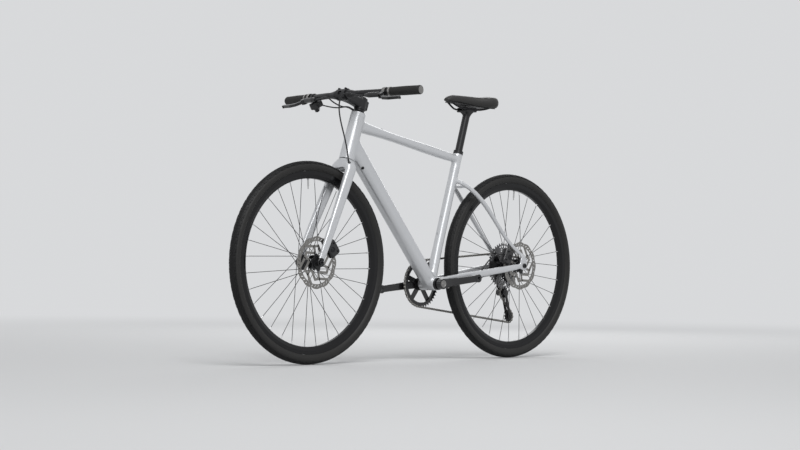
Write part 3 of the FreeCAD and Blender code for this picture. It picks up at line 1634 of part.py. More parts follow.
def downshift_lever():
    """Long thumb paddle."""
    a, d = SHIFT_PIVOT
    inner_edge = ((a - 6, d - 5), (a + 22, d - 16), (a + 44, d - 20))
    outer_edge = ((a + 47, d - 8), (a + 24, d - 1), (a + 2, d + 7))
    outline = inner_edge + outer_edge
    return shift_lever(-41.0, -34.0 - link_gap, outline)


def upshift_lever():
    """Short release lever."""
    a, d = SHIFT_PIVOT
    inner_edge = ((a - 6, d - 4), (a + 10, d - 18), (a + 24, d - 30))
    outer_edge = ((a + 32, d - 22), (a + 20, d - 8), (a + 5, d + 6))
    outline = inner_edge + outer_edge
    return shift_lever(-48.0, -41.0 - link_gap, outline)


# Hoses and housings


def front_hose():
    """Front brake hose: from the left lever past the stem and down into the fork crown."""
    start = master_point(1, master_length)
    outward, _down, _lift = bar_axes(1)
    return [
        start + outward * 1.0,
        start - outward * 30,
        BAR + V(34, 46, 4),
        BAR + V(37, 22, -16),
        BAR + V(38, 18, -54),
        BAR + V(33, 24, -100),
        BAR + V(21, 31, -150),
        BAR + V(12, 36, -196),
        steer_point(-18, 23, 40),
        steer_point(-38, 8, 41),
    ]


def rear_hose():
    """Rear brake hose: from the right lever round to the front of the headset cover."""
    start = master_point(-1, master_length)
    outward, _down, _lift = bar_axes(-1)
    return [
        start + outward * 1.0,
        start - outward * 28,
        BAR + V(32, -52, -4),
        BAR + V(20, -28, -28),
        BAR + V(-12, -16, -42),
        steer_point(HEAD_TOP + 11.5, 41, -10),
        steer_point(HEAD_TOP + 5.5, 15, -6),
    ]


def shift_housing():
    """Shift housing: from the shifter to the front of the headset cover."""
    start = bar_point(-1, shifter_clamp_at - 28, 16, -24)
    outward, _down, _lift = bar_axes(-1)
    return [
        start + outward * 6.0,
        start - outward * 24,
        BAR + V(12, -60, -40),
        BAR + V(-10, -36, -44),
        steer_point(HEAD_TOP + 13, 40, -18),
        steer_point(HEAD_TOP + 6, 17, -13),
    ]


def rear_caliper_hose():
    """Rear brake hose where it leaves the left chainstay and reaches the caliper."""
    radial, tangent = caliper_axes(rear_caliper_direction())
    inlet = REAR_AXLE + radial * (caliper_outer_radius - 12) + LEFT * rear_rotor_y
    inlet = inlet + LEFT * (caliper_half_width - 5)
    return [
        inlet - radial * 3,
        inlet + radial * 22,
        REAR_AXLE + V(150, rear_rotor_y + 4, 36),
        REAR_AXLE + V(184, rear_rotor_y + 1, 12),
        REAR_AXLE + V(214, rear_rotor_y - 5, -26),
    ]


def rear_shift_housing():
    """Shift housing where it leaves the right chainstay and reaches the derailleur."""
    y = -REAR_INNER - dropout_thickness
    return [
        REAR_AXLE + V(74, y + 6, -12),
        REAR_AXLE + V(44, y - 9, -16),
        REAR_AXLE + V(8, y - 24, -24),
        REAR_AXLE + V(-30, y - 28, -34),
        REAR_AXLE + V(-51, y - 22, -52),
        REAR_AXLE + V(-52, y - 9, -74),
        REAR_AXLE + V(-34, y + 7, -96),
    ]


# Seat


def seatpost():
    """Seatpost with the lower half of the saddle clamp at its head."""
    low = seat_tube_length - seatpost_insert
    head = seatpost_height
    shaft = rod(seat_point(low), seat_point(head), seatpost_radius)
    bore = rod(seat_point(low - 1), seat_point(head - post_neck), seatpost_radius - seatpost_wall)
    top = seat_point(head)
    cradle_top = top.z + rail_z_above_head - rail_radius - seat_gap / 2
    cradle_low = cradle_top - cradle_thickness
    end = cradle_length / 2
    outline = (
        (top.x - end, cradle_top),
        (top.x + end, cradle_top),
        (top.x + end - 3, cradle_low),
        (top.x - end + 3, cradle_low),
    )
    half = rail_spread + rail_radius + 1
    cradle = plate(outline, 1.5, -half, half)
    across = 2 * seatpost_radius
    neck = loft([
        section(seat_point(head - post_neck), LEFT, SEAT_AHEAD, across - 1, across - 1, seatpost_radius - 1),
        section(V(top.x, 0, cradle_low - 9), LEFT, V(1, 0, 0), across + 3, across + 2, seatpost_radius - 3),
        section(V(top.x, 0, cradle_low + 1), LEFT, V(1, 0, 0), 2 * half - 10, cradle_length - 12, 8.0),
    ])
    return shaft.fuse([neck, cradle]).cut(bore)


def rail_height():
    """Height of the straight part of the saddle rails."""
    return seat_point(seatpost_height).z + rail_z_above_head


def saddle_clamp():
    """Upper clamp plate over the rails, and its two bolts."""
    x = seat_point(seatpost_height).x
    low = rail_height() + rail_radius + seat_gap / 2
    half = rail_spread + rail_radius + 1
    top = low + 4
    outline = ((x - 25, low), (x - 22, top), (x + 22, top), (x + 25, low))
    bridge = plate(outline, 1.5, -half, half)
    cradle_top = rail_height() - rail_radius - seat_gap / 2
    pieces = [bridge]
    for end in (-1, 1):
        at = V(x + end * 20, 0, 0)
        shank = rod(at + UP * (cradle_top + seat_gap / 2), at + UP * (low - seat_gap / 2), 3.0)
        nut = rod(at + UP * (top + seat_gap / 2), at + UP * (top + 2.4), 4.5)
        pieces += [shank, nut]
    return pieces


def saddle_nose_x():
    """Front end of the saddle."""
    return seat_point(seatpost_height).x + saddle_length / 2 + saddle_forward


def saddle_rails():
    """Two rails from the nose of the base, through the clamp, to the tail of the base."""
    nose = saddle_nose_x()
    level = rail_height()
    clamp_x = seat_point(seatpost_height).x
    rails = []
    for side in (1, -1):
        points = [
            V(nose - 26, side * 9, level + 26),
            V(nose - 50, side * 13, level + 12),
            V(clamp_x + 44, side * rail_spread, level),
            V(clamp_x - 42, side * rail_spread, level),
            V(clamp_x - 72, side * (rail_spread + 12), level + 6),
            V(clamp_x - 94, side * (rail_spread + 22), level + 15),
        ]
        rails.append(routed_tube(points, rail_radius, "saddle rail"))
    return rails


def saddle_stations():
    """Saddle cross sections from nose to tail: x, half width, top and underside."""
    nose = saddle_nose_x()
    level = rail_height()
    shape = (
        (0.00, 0.16, 35.0, 25.0),
        (0.09, 0.26, 45.0, 23.0),
        (0.25, 0.32, 50.0, 21.5),
        (0.45, 0.43, 46.0, 17.0),
        (0.64, 0.74, 43.0, 11.0),
        (0.82, 1.00, 46.0, 8.0),
        (0.95, 0.94, 48.0, 9.0),
        (1.00, 0.74, 43.0, 15.0),
    )
    return [(nose - saddle_length * s, w * saddle_width / 2, level + t, level + b) for s, w, t, b in shape]


def underside_point(x, half, low, share):
    """A point on the arched underside of a saddle section, at a share of the way out to its foot."""
    arch = saddle_arch * half / (saddle_width / 2)
    return V(x, saddle_foot_share * half * share, low + arch * (1 - share ** 2))


def saddle_section(x, half, top, low):
    """One saddle cross section: arched below, round sides, crowned top."""
    rise = top - low
    foot = saddle_foot_share * half
    brow = 0.7 * half
    points = [
        V(x, foot, low),
        V(x, half, low + 0.42 * rise),
        V(x, brow, top - 0.14 * rise),
        V(x, 0, top),
        V(x, -brow, top - 0.14 * rise),
        V(x, -half, low + 0.42 * rise),
        V(x, -foot, low),
    ]
    return Part.Wire([
        Part.Arc(points[0], points[1], points[2]).toShape(),
        Part.Arc(points[2], points[3], points[4]).toShape(),
        Part.Arc(points[4], points[5], points[6]).toShape(),
        Part.Arc(points[6], underside_point(x, half, low, 0), points[0]).toShape(),
    ])


def saddle_cover():
    """Padded saddle top."""
    return loft([saddle_section(*station) for station in saddle_stations()])


def saddle_base():
    """Moulded base under the padding."""
    sections = []
    share = base_width_share
    for x, half, _top, low in saddle_stations()[1:-1]:
        upper = [underside_point(x, half, low - seat_gap, s) for s in (share, 0, -share)]
        lower = [underside_point(x, half, low - saddle_base_thickness, s) for s in (-share, 0, share)]
        sections.append(Part.Wire([
            Part.Arc(*upper).toShape(),
            Part.LineSegment(upper[2], lower[0]).toShape(),
            Part.Arc(*lower).toShape(),
            Part.LineSegment(lower[2], upper[0]).toShape(),
        ]))
    return loft(sections)


# Assembly


def save(name, solids):
    """Write one named piece, or a group of like pieces, as a file."""
    shape = solids[0] if len(solids) == 1 else Part.makeCompound(solids)
    shape.exportStep("parts/" + name + ".step")
    print(name, len(shape.Solids), "solids", round(shape.Volume / 1000.0, 1), "cm3", shape.isValid())


def build_frame():
    """Every piece that stays with the frame."""
    head_envelope = head_tube_envelope()
    shell_envelope = bb_shell_envelope()
    seat_envelope = seat_tube_envelope()
    down_outer = loft(down_tube_sections(0))
    down = down_outer.cut(loft(down_tube_sections(tube_wall))).cut(head_envelope).cut(shell_envelope)
    seat = seat_envelope.cut(shell_envelope).cut(down_outer)
    post_room = rod(seat_point(60), seat_point(seat_tube_length + 1), seatpost_radius + running_fit)
    seat = seat.cut(post_room)
    top_outer = loft(top_tube_sections(0))
    top = top_outer.cut(loft(top_tube_sections(tube_wall))).cut(head_envelope).cut(seat_envelope)
    shell_bore = rod(BOTTOM_BRACKET - LEFT * 100, BOTTOM_BRACKET + LEFT * 100, bb_cup_seat)
    shell = shell_envelope.cut(shell_bore)
    tubes = {"seat_tube": seat, "down_tube": down, "top_tube": top}
    bosses = []
    for mouth, outward, host in boss_places():
        tubes[host] = tubes[host].cut(boss_hole(mouth, outward))
        bosses.append(boss(mouth, outward))
    port, port_hole = cable_port()
    tubes["down_tube"] = tubes["down_tube"].cut(port_hole)
    left_dropout = rear_dropout()
    stay = chainstay().cut(shell_envelope).cut(seat_envelope).cut(down_outer).cut(left_dropout)
    upper_stay, bend = seatstay()
    upper_stay = upper_stay.cut(seat_envelope).cut(left_dropout)
    bridge = rod(V(bend.x, -bend.y, bend.z), V(bend.x, bend.y, bend.z), 6.0)
    right_upper = mirrored(upper_stay)
    bridge = bridge.cut(upper_stay).cut(right_upper)
    hose = routed_tube(rear_caliper_hose(), hose_radius, "rear caliper hose")
    housing = routed_tube(rear_shift_housing(), housing_radius, "rear shift housing")
    right_dropout = mirrored(left_dropout)
    brake = caliper(REAR_AXLE, rear_caliper_direction(), rear_rotor_y)
    left_stay = stay.cut(hose)
    right_stay = mirrored(stay).cut(housing)
    brake = brake.cut(left_stay).cut(upper_stay).cut(left_dropout).cut(hose)
    body = derailleur_body()
    hanger_arm = hanger().cut(right_dropout)
    body = [piece.cut(housing).cut(hanger_arm) for piece in body]
    clamp_top = seat_point(seat_tube_length + seat_clamp_height)
    clamp = pipe(SEAT_TOP, clamp_top, seatpost_radius + seat_clamp_wall, seatpost_radius + running_fit)
    save("head_tube", [head_tube()])
    save("down_tube", [tubes["down_tube"]])
    save("top_tube", [tubes["top_tube"]])
    save("seat_tube", [tubes["seat_tube"]])
    save("bottom_bracket_shell", [shell])
    save("chainstays", [left_stay, right_stay])
    save("seatstays", [upper_stay, right_upper, bridge])
    save("rear_dropouts", [left_dropout, right_dropout])
    save("derailleur_hanger", [hanger_arm])
    save("seat_clamp", [clamp])
    save("threaded_bosses", bosses)
    save("rear_axle", [thru_axle(REAR_AXLE, REAR_INNER, dropout_thickness)])
    save("frame_bearings", headset_bearings() + bb_cups())
    save("rear_caliper", [brake])
    save("rear_cables", [hose, housing, port])
    save("chain", chain())
    save("derailleur_body", body)


def build_steering():
    """Every piece that turns with the fork."""
    crown = fork_crown()
    blade = fork_blade().cut(crown)
    eyelets = [boss(mouth, LEFT) for mouth in fork_boss_places()]
    for mouth in fork_boss_places():
        blade = blade.cut(boss_hole(mouth, LEFT))
    hose = routed_tube(front_hose(), hose_radius, "front hose")
    rear = routed_tube(rear_hose(), hose_radius, "rear hose")
    shift = routed_tube(shift_housing(), housing_radius, "shift housing")
    covers = [piece.cut(rear).cut(shift) for piece in headset_cover()]
    brake = caliper(FRONT_AXLE, front_caliper_direction(), front_rotor_y).cut(blade)
    housings = [lever_housing(1).cut(hose), lever_housing(-1).cut(rear)]
    save("fork_crown", [crown.cut(hose)])
    save("fork_blades", [blade, mirrored(blade)] + eyelets + [mirrored(eyelet) for eyelet in eyelets])
    save("front_axle", [thru_axle(FRONT_AXLE, FRONT_INNER, blade_foot_width)])
    save("headset_cover", covers)
    save("stem", [stem()])
    save("stem_faceplate", [stem_faceplate()])
    save("stem_bolts", stem_bolts())
    save("handlebar", [handlebar()])
    save("grips", [grip(1), grip(-1)])
    save("lever_housings", housings)
    save("shifter_housing", [shifter_housing().cut(shift)])
    save("control_hoses", [hose, rear, shift])
    save("front_caliper", [brake])


def build_controls():
    """Levers and brake pads."""
    save("left_brake_lever", [brake_lever(1)])
    save("right_brake_lever", [brake_lever(-1)])
    save("downshift_lever", [downshift_lever()])
    save("upshift_lever", [upshift_lever()])
    save("front_outer_pad", pad(FRONT_AXLE, front_caliper_direction(), front_rotor_y, 1))
    save("front_inner_pad", pad(FRONT_AXLE, front_caliper_direction(), front_rotor_y, -1))
    save("rear_outer_pad", pad(REAR_AXLE, rear_caliper_direction(), rear_rotor_y, 1))
    save("rear_inner_pad", pad(REAR_AXLE, rear_caliper_direction(), rear_rotor_y, -1))


def build_wheel(name, centre, hub, flanges, rotor_y, valve_angle):
    """Every piece of one wheel."""
    spokes, holes = wheel_spokes(centre, flanges[0], flanges[1], valve_angle)
    save(name + "_tyre", [tyre(centre)])
    save(name + "_rim", [rim(centre), valve(centre, valve_angle)])
    save(name + "_spokes", spokes)
    save(name + "_hub", [hub.cut(holes)] + rotor_carrier(centre, rotor_y))
    save(name + "_rotor", [rotor(centre, rotor_y)])


def build_drivetrain():
    """Crank, cassette and the derailleur's moving pieces."""
    left_arm, boss_end = crank_arm(1)
    right_arm, _end = crank_arm(-1)
    save("left_crank_arm", [left_arm])
    save("right_crank_arm", [right_arm, spindle(boss_end)])
    save("chainring", [chainring()])
    save("cassette", cassette())
    save("derailleur_cage", [derailleur_cage()])
    save("guide_pulley", [pulley(GUIDE, 4)])
    save("tension_pulley", [pulley(TENSION, 2)])


def build_seat():
    """Every piece that slides with the seatpost."""
    save("seatpost", [seatpost()])
    save("saddle_clamp", saddle_clamp())
    rails = saddle_rails()
    save("saddle_rails", rails)
    cover = saddle_cover()
    save("saddle_base", [saddle_base().cut(cover).cut(rails[0]).cut(rails[1])])
    save("saddle_cover", [cover.cut(rails[0]).cut(rails[1])])


os.makedirs("parts", exist_ok=True)
build_frame()
build_steering()
build_controls()
front_flanges = (front_left_flange, front_right_flange)
rear_flanges = (rear_left_flange, rear_right_flange)
build_wheel("front", FRONT_AXLE, front_hub(), front_flanges, front_rotor_y, front_valve_angle)
build_wheel("rear", REAR_AXLE, rear_hub(), rear_flanges, rear_rotor_y, rear_valve_angle)
build_drivetrain()
build_seat()
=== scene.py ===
# %% [markdown]
# This lesson dresses a hybrid bike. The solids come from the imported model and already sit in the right
# place, so the work here is skins, soft forms, fine detail and finishes. Everything is in metres: X
# points forward, Y to the rider's left and Z up, with the origin on the ground between the wheels.

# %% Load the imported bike
import bmesh
import bpy
import json
import math
from mathutils import Matrix, Vector
from mathutils.bvhtree import BVHTree


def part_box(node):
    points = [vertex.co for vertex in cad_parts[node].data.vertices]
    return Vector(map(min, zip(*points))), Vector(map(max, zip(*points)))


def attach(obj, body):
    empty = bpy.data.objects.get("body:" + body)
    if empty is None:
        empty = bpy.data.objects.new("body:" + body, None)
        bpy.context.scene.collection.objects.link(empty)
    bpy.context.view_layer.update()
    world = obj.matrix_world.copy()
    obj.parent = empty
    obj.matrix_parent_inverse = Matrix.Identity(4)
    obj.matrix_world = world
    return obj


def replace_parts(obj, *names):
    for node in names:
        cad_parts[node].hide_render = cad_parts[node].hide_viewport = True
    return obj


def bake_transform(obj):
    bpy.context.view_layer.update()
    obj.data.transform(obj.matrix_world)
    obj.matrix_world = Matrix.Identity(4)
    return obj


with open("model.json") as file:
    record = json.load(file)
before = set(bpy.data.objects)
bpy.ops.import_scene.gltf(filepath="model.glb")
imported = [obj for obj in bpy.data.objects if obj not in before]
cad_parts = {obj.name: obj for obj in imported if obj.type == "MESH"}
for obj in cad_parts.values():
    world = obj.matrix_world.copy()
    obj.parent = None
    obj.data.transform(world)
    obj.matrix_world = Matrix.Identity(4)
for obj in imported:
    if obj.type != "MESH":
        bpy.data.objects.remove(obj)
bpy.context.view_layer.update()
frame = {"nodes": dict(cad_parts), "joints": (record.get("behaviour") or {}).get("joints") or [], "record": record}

# %% [markdown]
# The joints carry the places that the rest is built from: the steering axis, the two axles, the bottom
# bracket, the line of the seat tube and the pivot of the derailleur's cage.

# %% Places
joints = {joint["name"]: joint for joint in frame["joints"]}
left = Vector((0.0, 1.0, 0.0))
crown = Vector(joints["steering_turn"]["pos_m"])
steer_up = Vector(joints["steering_turn"]["axis"])
steer_ahead = Vector((steer_up.z, 0.0, -steer_up.x))
front_axle = Vector(joints["front_wheel_spin"]["pos_m"])
rear_axle = Vector(joints["rear_wheel_spin"]["pos_m"])
bracket = Vector(joints["crank_spin"]["pos_m"])
seat_up = Vector(joints["seatpost_slide"]["axis"])
print("wheelbase", round(front_axle.x - rear_axle.x, 4))

# %% [markdown]
# The camera stands in front of the bike, on its left, at about the height of the axles. Its place, turn
# and lens were found by fitting both wheel outlines of the picture, so a plain perspective camera is
# enough. Lamps, hoses and pieces enter the scene the same way as the camera, so one helper does it.

# %% Camera


def add_object(name, data):
    """A new object in the scene, round a camera, lamp, curve or mesh."""
    thing = bpy.data.objects.new(name, data)
    bpy.context.scene.collection.objects.link(thing)
    return thing


camera_data = bpy.data.cameras.new("camera")
camera_data.sensor_width = 36.0
camera_data.lens = 83.78
camera = add_object("camera", camera_data)
eye = Vector((4.7714, 4.7288, 0.3169))
heading = math.radians(225.2)
tilt = math.radians(1.468)
roll = 0.0113
look = Vector((math.cos(heading) * math.cos(tilt), math.sin(heading) * math.cos(tilt), math.sin(tilt)))
camera_turn = look.to_track_quat("-Z", "Y").to_matrix() @ Matrix.Rotation(roll, 3, "Z")
camera.matrix_world = Matrix.Translation(eye) @ camera_turn.to_4x4()
bpy.context.scene.camera = camera
print("camera at", tuple(round(v, 2) for v in eye))

# %% [markdown]
# The studio floor is one large pale sheet, a hair below the tyres.

# %% Floor
bpy.context.scene.view_settings.view_transform = "Standard"

floor_half = 60.0
floor_drop = 0.0005
floor_mesh = bpy.data.meshes.new("floor")
bm = bmesh.new()
bmesh.ops.create_grid(bm, x_segments=1, y_segments=1, size=floor_half)
bm.to_mesh(floor_mesh)
bm.free()
floor = add_object("floor", floor_mesh)
floor.location.z = -floor_drop

floor_paint = bpy.data.materials.new("floor_paint")
floor_paint.use_nodes = True
floor_shader = floor_paint.node_tree.nodes["Principled BSDF"]
floor_shader.inputs["Base Color"].default_value = (0.66, 0.665, 0.67, 1.0)
floor_shader.inputs["Roughness"].default_value = 0.8
floor_shader.inputs["Specular IOR Level"].default_value = 0.2
floor_mesh.materials.append(floor_paint)
print("floor", tuple(round(v, 1) for v in floor.dimensions))

# %% [markdown]
# A real studio hides the line between floor and wall with a curved sweep. Here the floor's own material
# fades into the backdrop's colour a few metres from the bike, which works from every side and leaves the
# shadow under the wheels alone.

# %% Fade of the floor
backdrop_colour = (0.84, 0.85, 0.865, 1.0)
backdrop_seen = 0.82
fade_start = 1.6
fade_end = 7.0

floor_tree = floor_paint.node_tree
floor_place = floor_tree.nodes.new("ShaderNodeTexCoord")
floor_reach = floor_tree.nodes.new("ShaderNodeVectorMath")
floor_reach.operation = "LENGTH"
floor_tree.links.new(floor_place.outputs["Object"], floor_reach.inputs[0])
fade = floor_tree.nodes.new("ShaderNodeMapRange")
fade.interpolation_type = "SMOOTHSTEP"
fade.inputs["From Min"].default_value = fade_start
fade.inputs["From Max"].default_value = fade_end
floor_tree.links.new(floor_reach.outputs["Value"], fade.inputs["Value"])
glow = floor_tree.nodes.new("ShaderNodeEmission")
glow.inputs["Color"].default_value = backdrop_colour
glow.inputs["Strength"].default_value = backdrop_seen
blend = floor_tree.nodes.new("ShaderNodeMixShader")
floor_tree.links.new(fade.outputs["Result"], blend.inputs["Fac"])
floor_tree.links.new(floor_shader.outputs["BSDF"], blend.inputs[1])
floor_tree.links.new(glow.outputs["Emission"], blend.inputs[2])
floor_tree.links.new(blend.outputs["Shader"], floor_tree.nodes["Material Output"].inputs["Surface"])
print("floor fades from", fade_start, "to", fade_end)

# %% [markdown]
# The world does two jobs. What the camera and shiny surfaces see of it is as pale as the floor, while the
# light that it gives stays low, so that the shadows keep their depth. Light Path tells the two apart.

# %% Backdrop
backdrop_light = 0.42
world = bpy.data.worlds.new("studio")
bpy.context.scene.world = world
world.use_nodes = True
world_nodes = world.node_tree.nodes
world_links = world.node_tree.links
light_path = world_nodes.new("ShaderNodeLightPath")
seen = world_nodes.new("ShaderNodeMath")
seen.operation = "MAXIMUM"
world_links.new(light_path.outputs["Is Camera Ray"], seen.inputs[0])
world_links.new(light_path.outputs["Is Transmission Ray"], seen.inputs[1])
shown = world_nodes.new("ShaderNodeMath")
shown.operation = "MAXIMUM"
world_links.new(seen.outputs[0], shown.inputs[0])
world_links.new(light_path.outputs["Is Glossy Ray"], shown.inputs[1])
level = world_nodes.new("ShaderNodeMapRange")
level.inputs["To Min"].default_value = backdrop_light
level.inputs["To Max"].default_value = backdrop_seen
world_links.new(shown.outputs[0], level.inputs["Value"])
backdrop = world_nodes["Background"]
backdrop.inputs["Color"].default_value = backdrop_colour
world_links.new(level.outputs["Result"], backdrop.inputs["Strength"])
print("backdrop seen at", backdrop_seen, "and lighting at", backdrop_light)

# %% [markdown]
# A broad even light from above, on the camera's side, does most of the work: a sun with a very wide disc,
# so its shadows are soft. Two large square lamps, one in front and one behind, draw the long highlights
# on the tubes.

# %% Lamps


def soft_lamp(name, place, target, size, power):
    """A large square lamp that faces a point."""
    data = bpy.data.lights.new(name, "AREA")
    data.size = size
    data.energy = power
    aim = (Vector(target) - Vector(place)).to_track_quat("-Z", "Y").to_matrix().to_4x4()
    add_object(name, data).matrix_world = Matrix.Translation(place) @ aim


broad_data = bpy.data.lights.new("broad", "SUN")
broad_data.energy = 1.55
broad_data.angle = math.radians(35)
broad_way = Vector((-0.32, -0.52, -0.79))
add_object("broad", broad_data).matrix_world = broad_way.to_track_quat("-Z", "Y").to_matrix().to_4x4()
soft_lamp("key", place=(2.6, 3.0, 2.6), target=(0, 0, 0.5), size=1.6, power=26.0)
soft_lamp("back", place=(-2.8, -2.2, 2.2), target=(0, 0, 0.6), size=2.2, power=30.0)
print("lamps", len(bpy.data.lights))

# %% [markdown]
# Finishes share a few effects, so each effect is a node group with named sockets. Wiring every group by
# hand takes many lines, so three small helpers make an empty group, a Math node and a colour Mix node.

# %% Node helpers


def new_group(name, inputs, outputs):
    """An empty shader group with named sockets, and its two end nodes."""
    group = bpy.data.node_groups.new(name, "ShaderNodeTree")
    for label, kind, value in inputs:
        socket = group.interface.new_socket(label, in_out="INPUT", socket_type=kind)
        socket.default_value = value
    for label, kind in outputs:
        group.interface.new_socket(label, in_out="OUTPUT", socket_type=kind)
    start = group.nodes.new("NodeGroupInput")
    end = group.nodes.new("NodeGroupOutput")
    return group, start, end


def math_node(tree, operation, first, second, clamp=False):
    """A Math node fed by sockets or plain numbers."""
    node = tree.nodes.new("ShaderNodeMath")
    node.operation = operation
    node.use_clamp = clamp
    for index, value in enumerate((first, second)):
        if isinstance(value, (int, float)):
            node.inputs[index].default_value = value
        else:
            tree.links.new(value, node.inputs[index])
    return node.outputs[0]


def mix_colour(tree, share, first, second):
    """A colour Mix node: sockets or plain colours. Its colour sockets are numbers 6, 7 and 2."""
    node = tree.nodes.new("ShaderNodeMix")
    node.data_type = "RGBA"
    for index, value in ((0, share), (6, first), (7, second)):
        if isinstance(value, (int, float, tuple)):
            node.inputs[index].default_value = value
        else:
            tree.links.new(value, node.inputs[index])
    return node.outputs[2]


print("node helpers ready")

# %% [markdown]
# No real surface has quite one colour. Mottle drifts between two near colours, and shifts the roughness
# along, with one soft noise in Object coordinates, so that neighbouring pieces of one finish match.

# %% Mottle
mottle, start, end = new_group(
    "mottle",
    [
        ("Colour", "NodeSocketColor", (0.5, 0.5, 0.5, 1.0)),
        ("Second Colour", "NodeSocketColor", (0.4, 0.4, 0.4, 1.0)),
        ("Scale", "NodeSocketFloat", 20.0),
        ("Roughness", "NodeSocketFloat", 0.4),
        ("Spread", "NodeSocketFloat", 0.1),
    ],
    [("Colour", "NodeSocketColor"), ("Roughness", "NodeSocketFloat")],
)
place = mottle.nodes.new("ShaderNodeTexCoord")
cloud = mottle.nodes.new("ShaderNodeTexNoise")
cloud.inputs["Detail"].default_value = 5.0
mottle.links.new(place.outputs["Object"], cloud.inputs["Vector"])
mottle.links.new(start.outputs["Scale"], cloud.inputs["Scale"])
blended = mix_colour(mottle, cloud.outputs["Fac"], start.outputs["Colour"], start.outputs["Second Colour"])
mottle.links.new(blended, end.inputs["Colour"])
drift = math_node(mottle, "SUBTRACT", cloud.outputs["Fac"], 0.5)
swing = math_node(mottle, "MULTIPLY", drift, start.outputs["Spread"])
mottle.links.new(math_node(mottle, "ADD", start.outputs["Roughness"], swing, True), end.inputs["Roughness"])
print("group", mottle.name)

# %% [markdown]
# Rubber, moulded plastic and the saddle cover have a fine grain. Cells give the pebbles and a smaller
# noise roughens them. The group only gives a height, and each finish decides how deep its bumps are.

# %% Grain
grain, start, end = new_group(
    "grain",
    [
        ("Scale", "NodeSocketFloat", 400.0),
        ("Fine Scale", "NodeSocketFloat", 1500.0),
        ("Fine Share", "NodeSocketFloat", 0.4),
    ],
    [("Height", "NodeSocketFloat")],
)
place = grain.nodes.new("ShaderNodeTexCoord")
cells = grain.nodes.new("ShaderNodeTexVoronoi")
specks = grain.nodes.new("ShaderNodeTexNoise")
for node, label in ((cells, "Scale"), (specks, "Fine Scale")):
    grain.links.new(place.outputs["Object"], node.inputs["Vector"])
    grain.links.new(start.outputs[label], node.inputs["Scale"])
fine = math_node(grain, "MULTIPLY", specks.outputs["Fac"], start.outputs["Fine Share"])
grain.links.new(math_node(grain, "ADD", cells.outputs["Distance"], fine), end.inputs["Height"])
print("group", grain.name)

# %% [markdown]
# A spoke is black and its nipple is bright, but both are one piece. Beyond measures how far a point is
# from a wheel axle, so that one piece can change colour at a radius without being cut in two.

# %% Beyond a radius
beyond, start, end = new_group(
    "beyond",
    [
        ("Centre X", "NodeSocketFloat", 0.0),
        ("Centre Z", "NodeSocketFloat", 0.0),
        ("Radius", "NodeSocketFloat", 0.2),
    ],
    [("Mask", "NodeSocketFloat")],
)
place = beyond.nodes.new("ShaderNodeTexCoord")
parts = beyond.nodes.new("ShaderNodeSeparateXYZ")
beyond.links.new(place.outputs["Object"], parts.inputs[0])
along_x = math_node(beyond, "SUBTRACT", parts.outputs["X"], start.outputs["Centre X"])
along_z = math_node(beyond, "SUBTRACT", parts.outputs["Z"], start.outputs["Centre Z"])
square_x = math_node(beyond, "MULTIPLY", along_x, along_x)
square_z = math_node(beyond, "MULTIPLY", along_z, along_z)
distance = math_node(beyond, "POWER", math_node(beyond, "ADD", square_x, square_z), 0.5)
beyond.links.new(math_node(beyond, "GREATER_THAN", distance, start.outputs["Radius"]), end.inputs["Mask"])
print("group", beyond.name)

# %% [markdown]
# Each finish is one material with its own Principled shader. Plain values sit on the shader's own sockets
# and only what changes over the surface comes through a group.

# %% Finish helpers


def place_group(material, group, **values):
    """Places a shared group in a finish. A value's name is its socket's, with underscores for spaces."""
    node = material.node_tree.nodes.new("ShaderNodeGroup")
    node.node_tree = group
    for label, value in values.items():
        node.inputs[label.replace("_", " ").title()].default_value = value
    return node


def finish_with(name, colour, second, scale, roughness, spread, metallic=0.0, coat=0.0, specular=0.5):
    """A mottled finish: two near colours, a roughness that drifts, and plain shader values."""
    material = bpy.data.materials.new(name)
    material.use_nodes = True
    tree = material.node_tree
    shader = tree.nodes["Principled BSDF"]
    shader.inputs["Metallic"].default_value = metallic
    shader.inputs["Coat Weight"].default_value = coat
    shader.inputs["Specular IOR Level"].default_value = specular
    node = place_group(material, mottle, scale=scale, roughness=roughness, spread=spread)
    node.inputs["Colour"].default_value = (*colour, 1.0)
    node.inputs["Second Colour"].default_value = (*second, 1.0)
    tree.links.new(node.outputs["Colour"], shader.inputs["Base Color"])
    tree.links.new(node.outputs["Roughness"], shader.inputs["Roughness"])
    return material


def add_grain(material, scale, fine_scale, fine_share, strength, depth):
    """Small bumps on a finish."""
    tree = material.node_tree
    node = place_group(material, grain, scale=scale, fine_scale=fine_scale, fine_share=fine_share)
    bump = tree.nodes.new("ShaderNodeBump")
    bump.inputs["Strength"].default_value = strength
    bump.inputs["Distance"].default_value = depth
    tree.links.new(node.outputs["Height"], bump.inputs["Height"])
    tree.links.new(bump.outputs["Normal"], tree.nodes["Principled BSDF"].inputs["Normal"])


def tint_beyond(material, centre, radius, colour, outside=True):
    """Another colour past a radius from a wheel axle, or inside it."""
    tree = material.node_tree
    shader = tree.nodes["Principled BSDF"]
    node = place_group(material, beyond, centre_x=centre.x, centre_z=centre.z, radius=radius)
    was = shader.inputs["Base Color"].links[0].from_socket
    share = node.outputs["Mask"]
    tint = (*colour, 1.0)
    mixed = mix_colour(tree, share, was, tint) if outside else mix_colour(tree, share, tint, was)
    tree.links.new(mixed, shader.inputs["Base Color"])
    return material


print("finish helpers ready")

# %% [markdown]
# The frame and fork wear one silver paint: fine metal flake, half metallic, under a thin clear coat. The
# ends of the fork blades are black round the axle. Most other parts are black, from satin anodised alloy
# to gloss.

# %% Paint and black finishes
fork_end_radius = 0.0165


def silver_finish(name):
    """Silver paint of frame and fork."""
    silver = (0.66, 0.67, 0.685)
    flake = (0.57, 0.58, 0.60)
    return finish_with(
        name, silver, flake, scale=900.0, roughness=0.33, spread=0.10, metallic=0.5, coat=0.3
    )


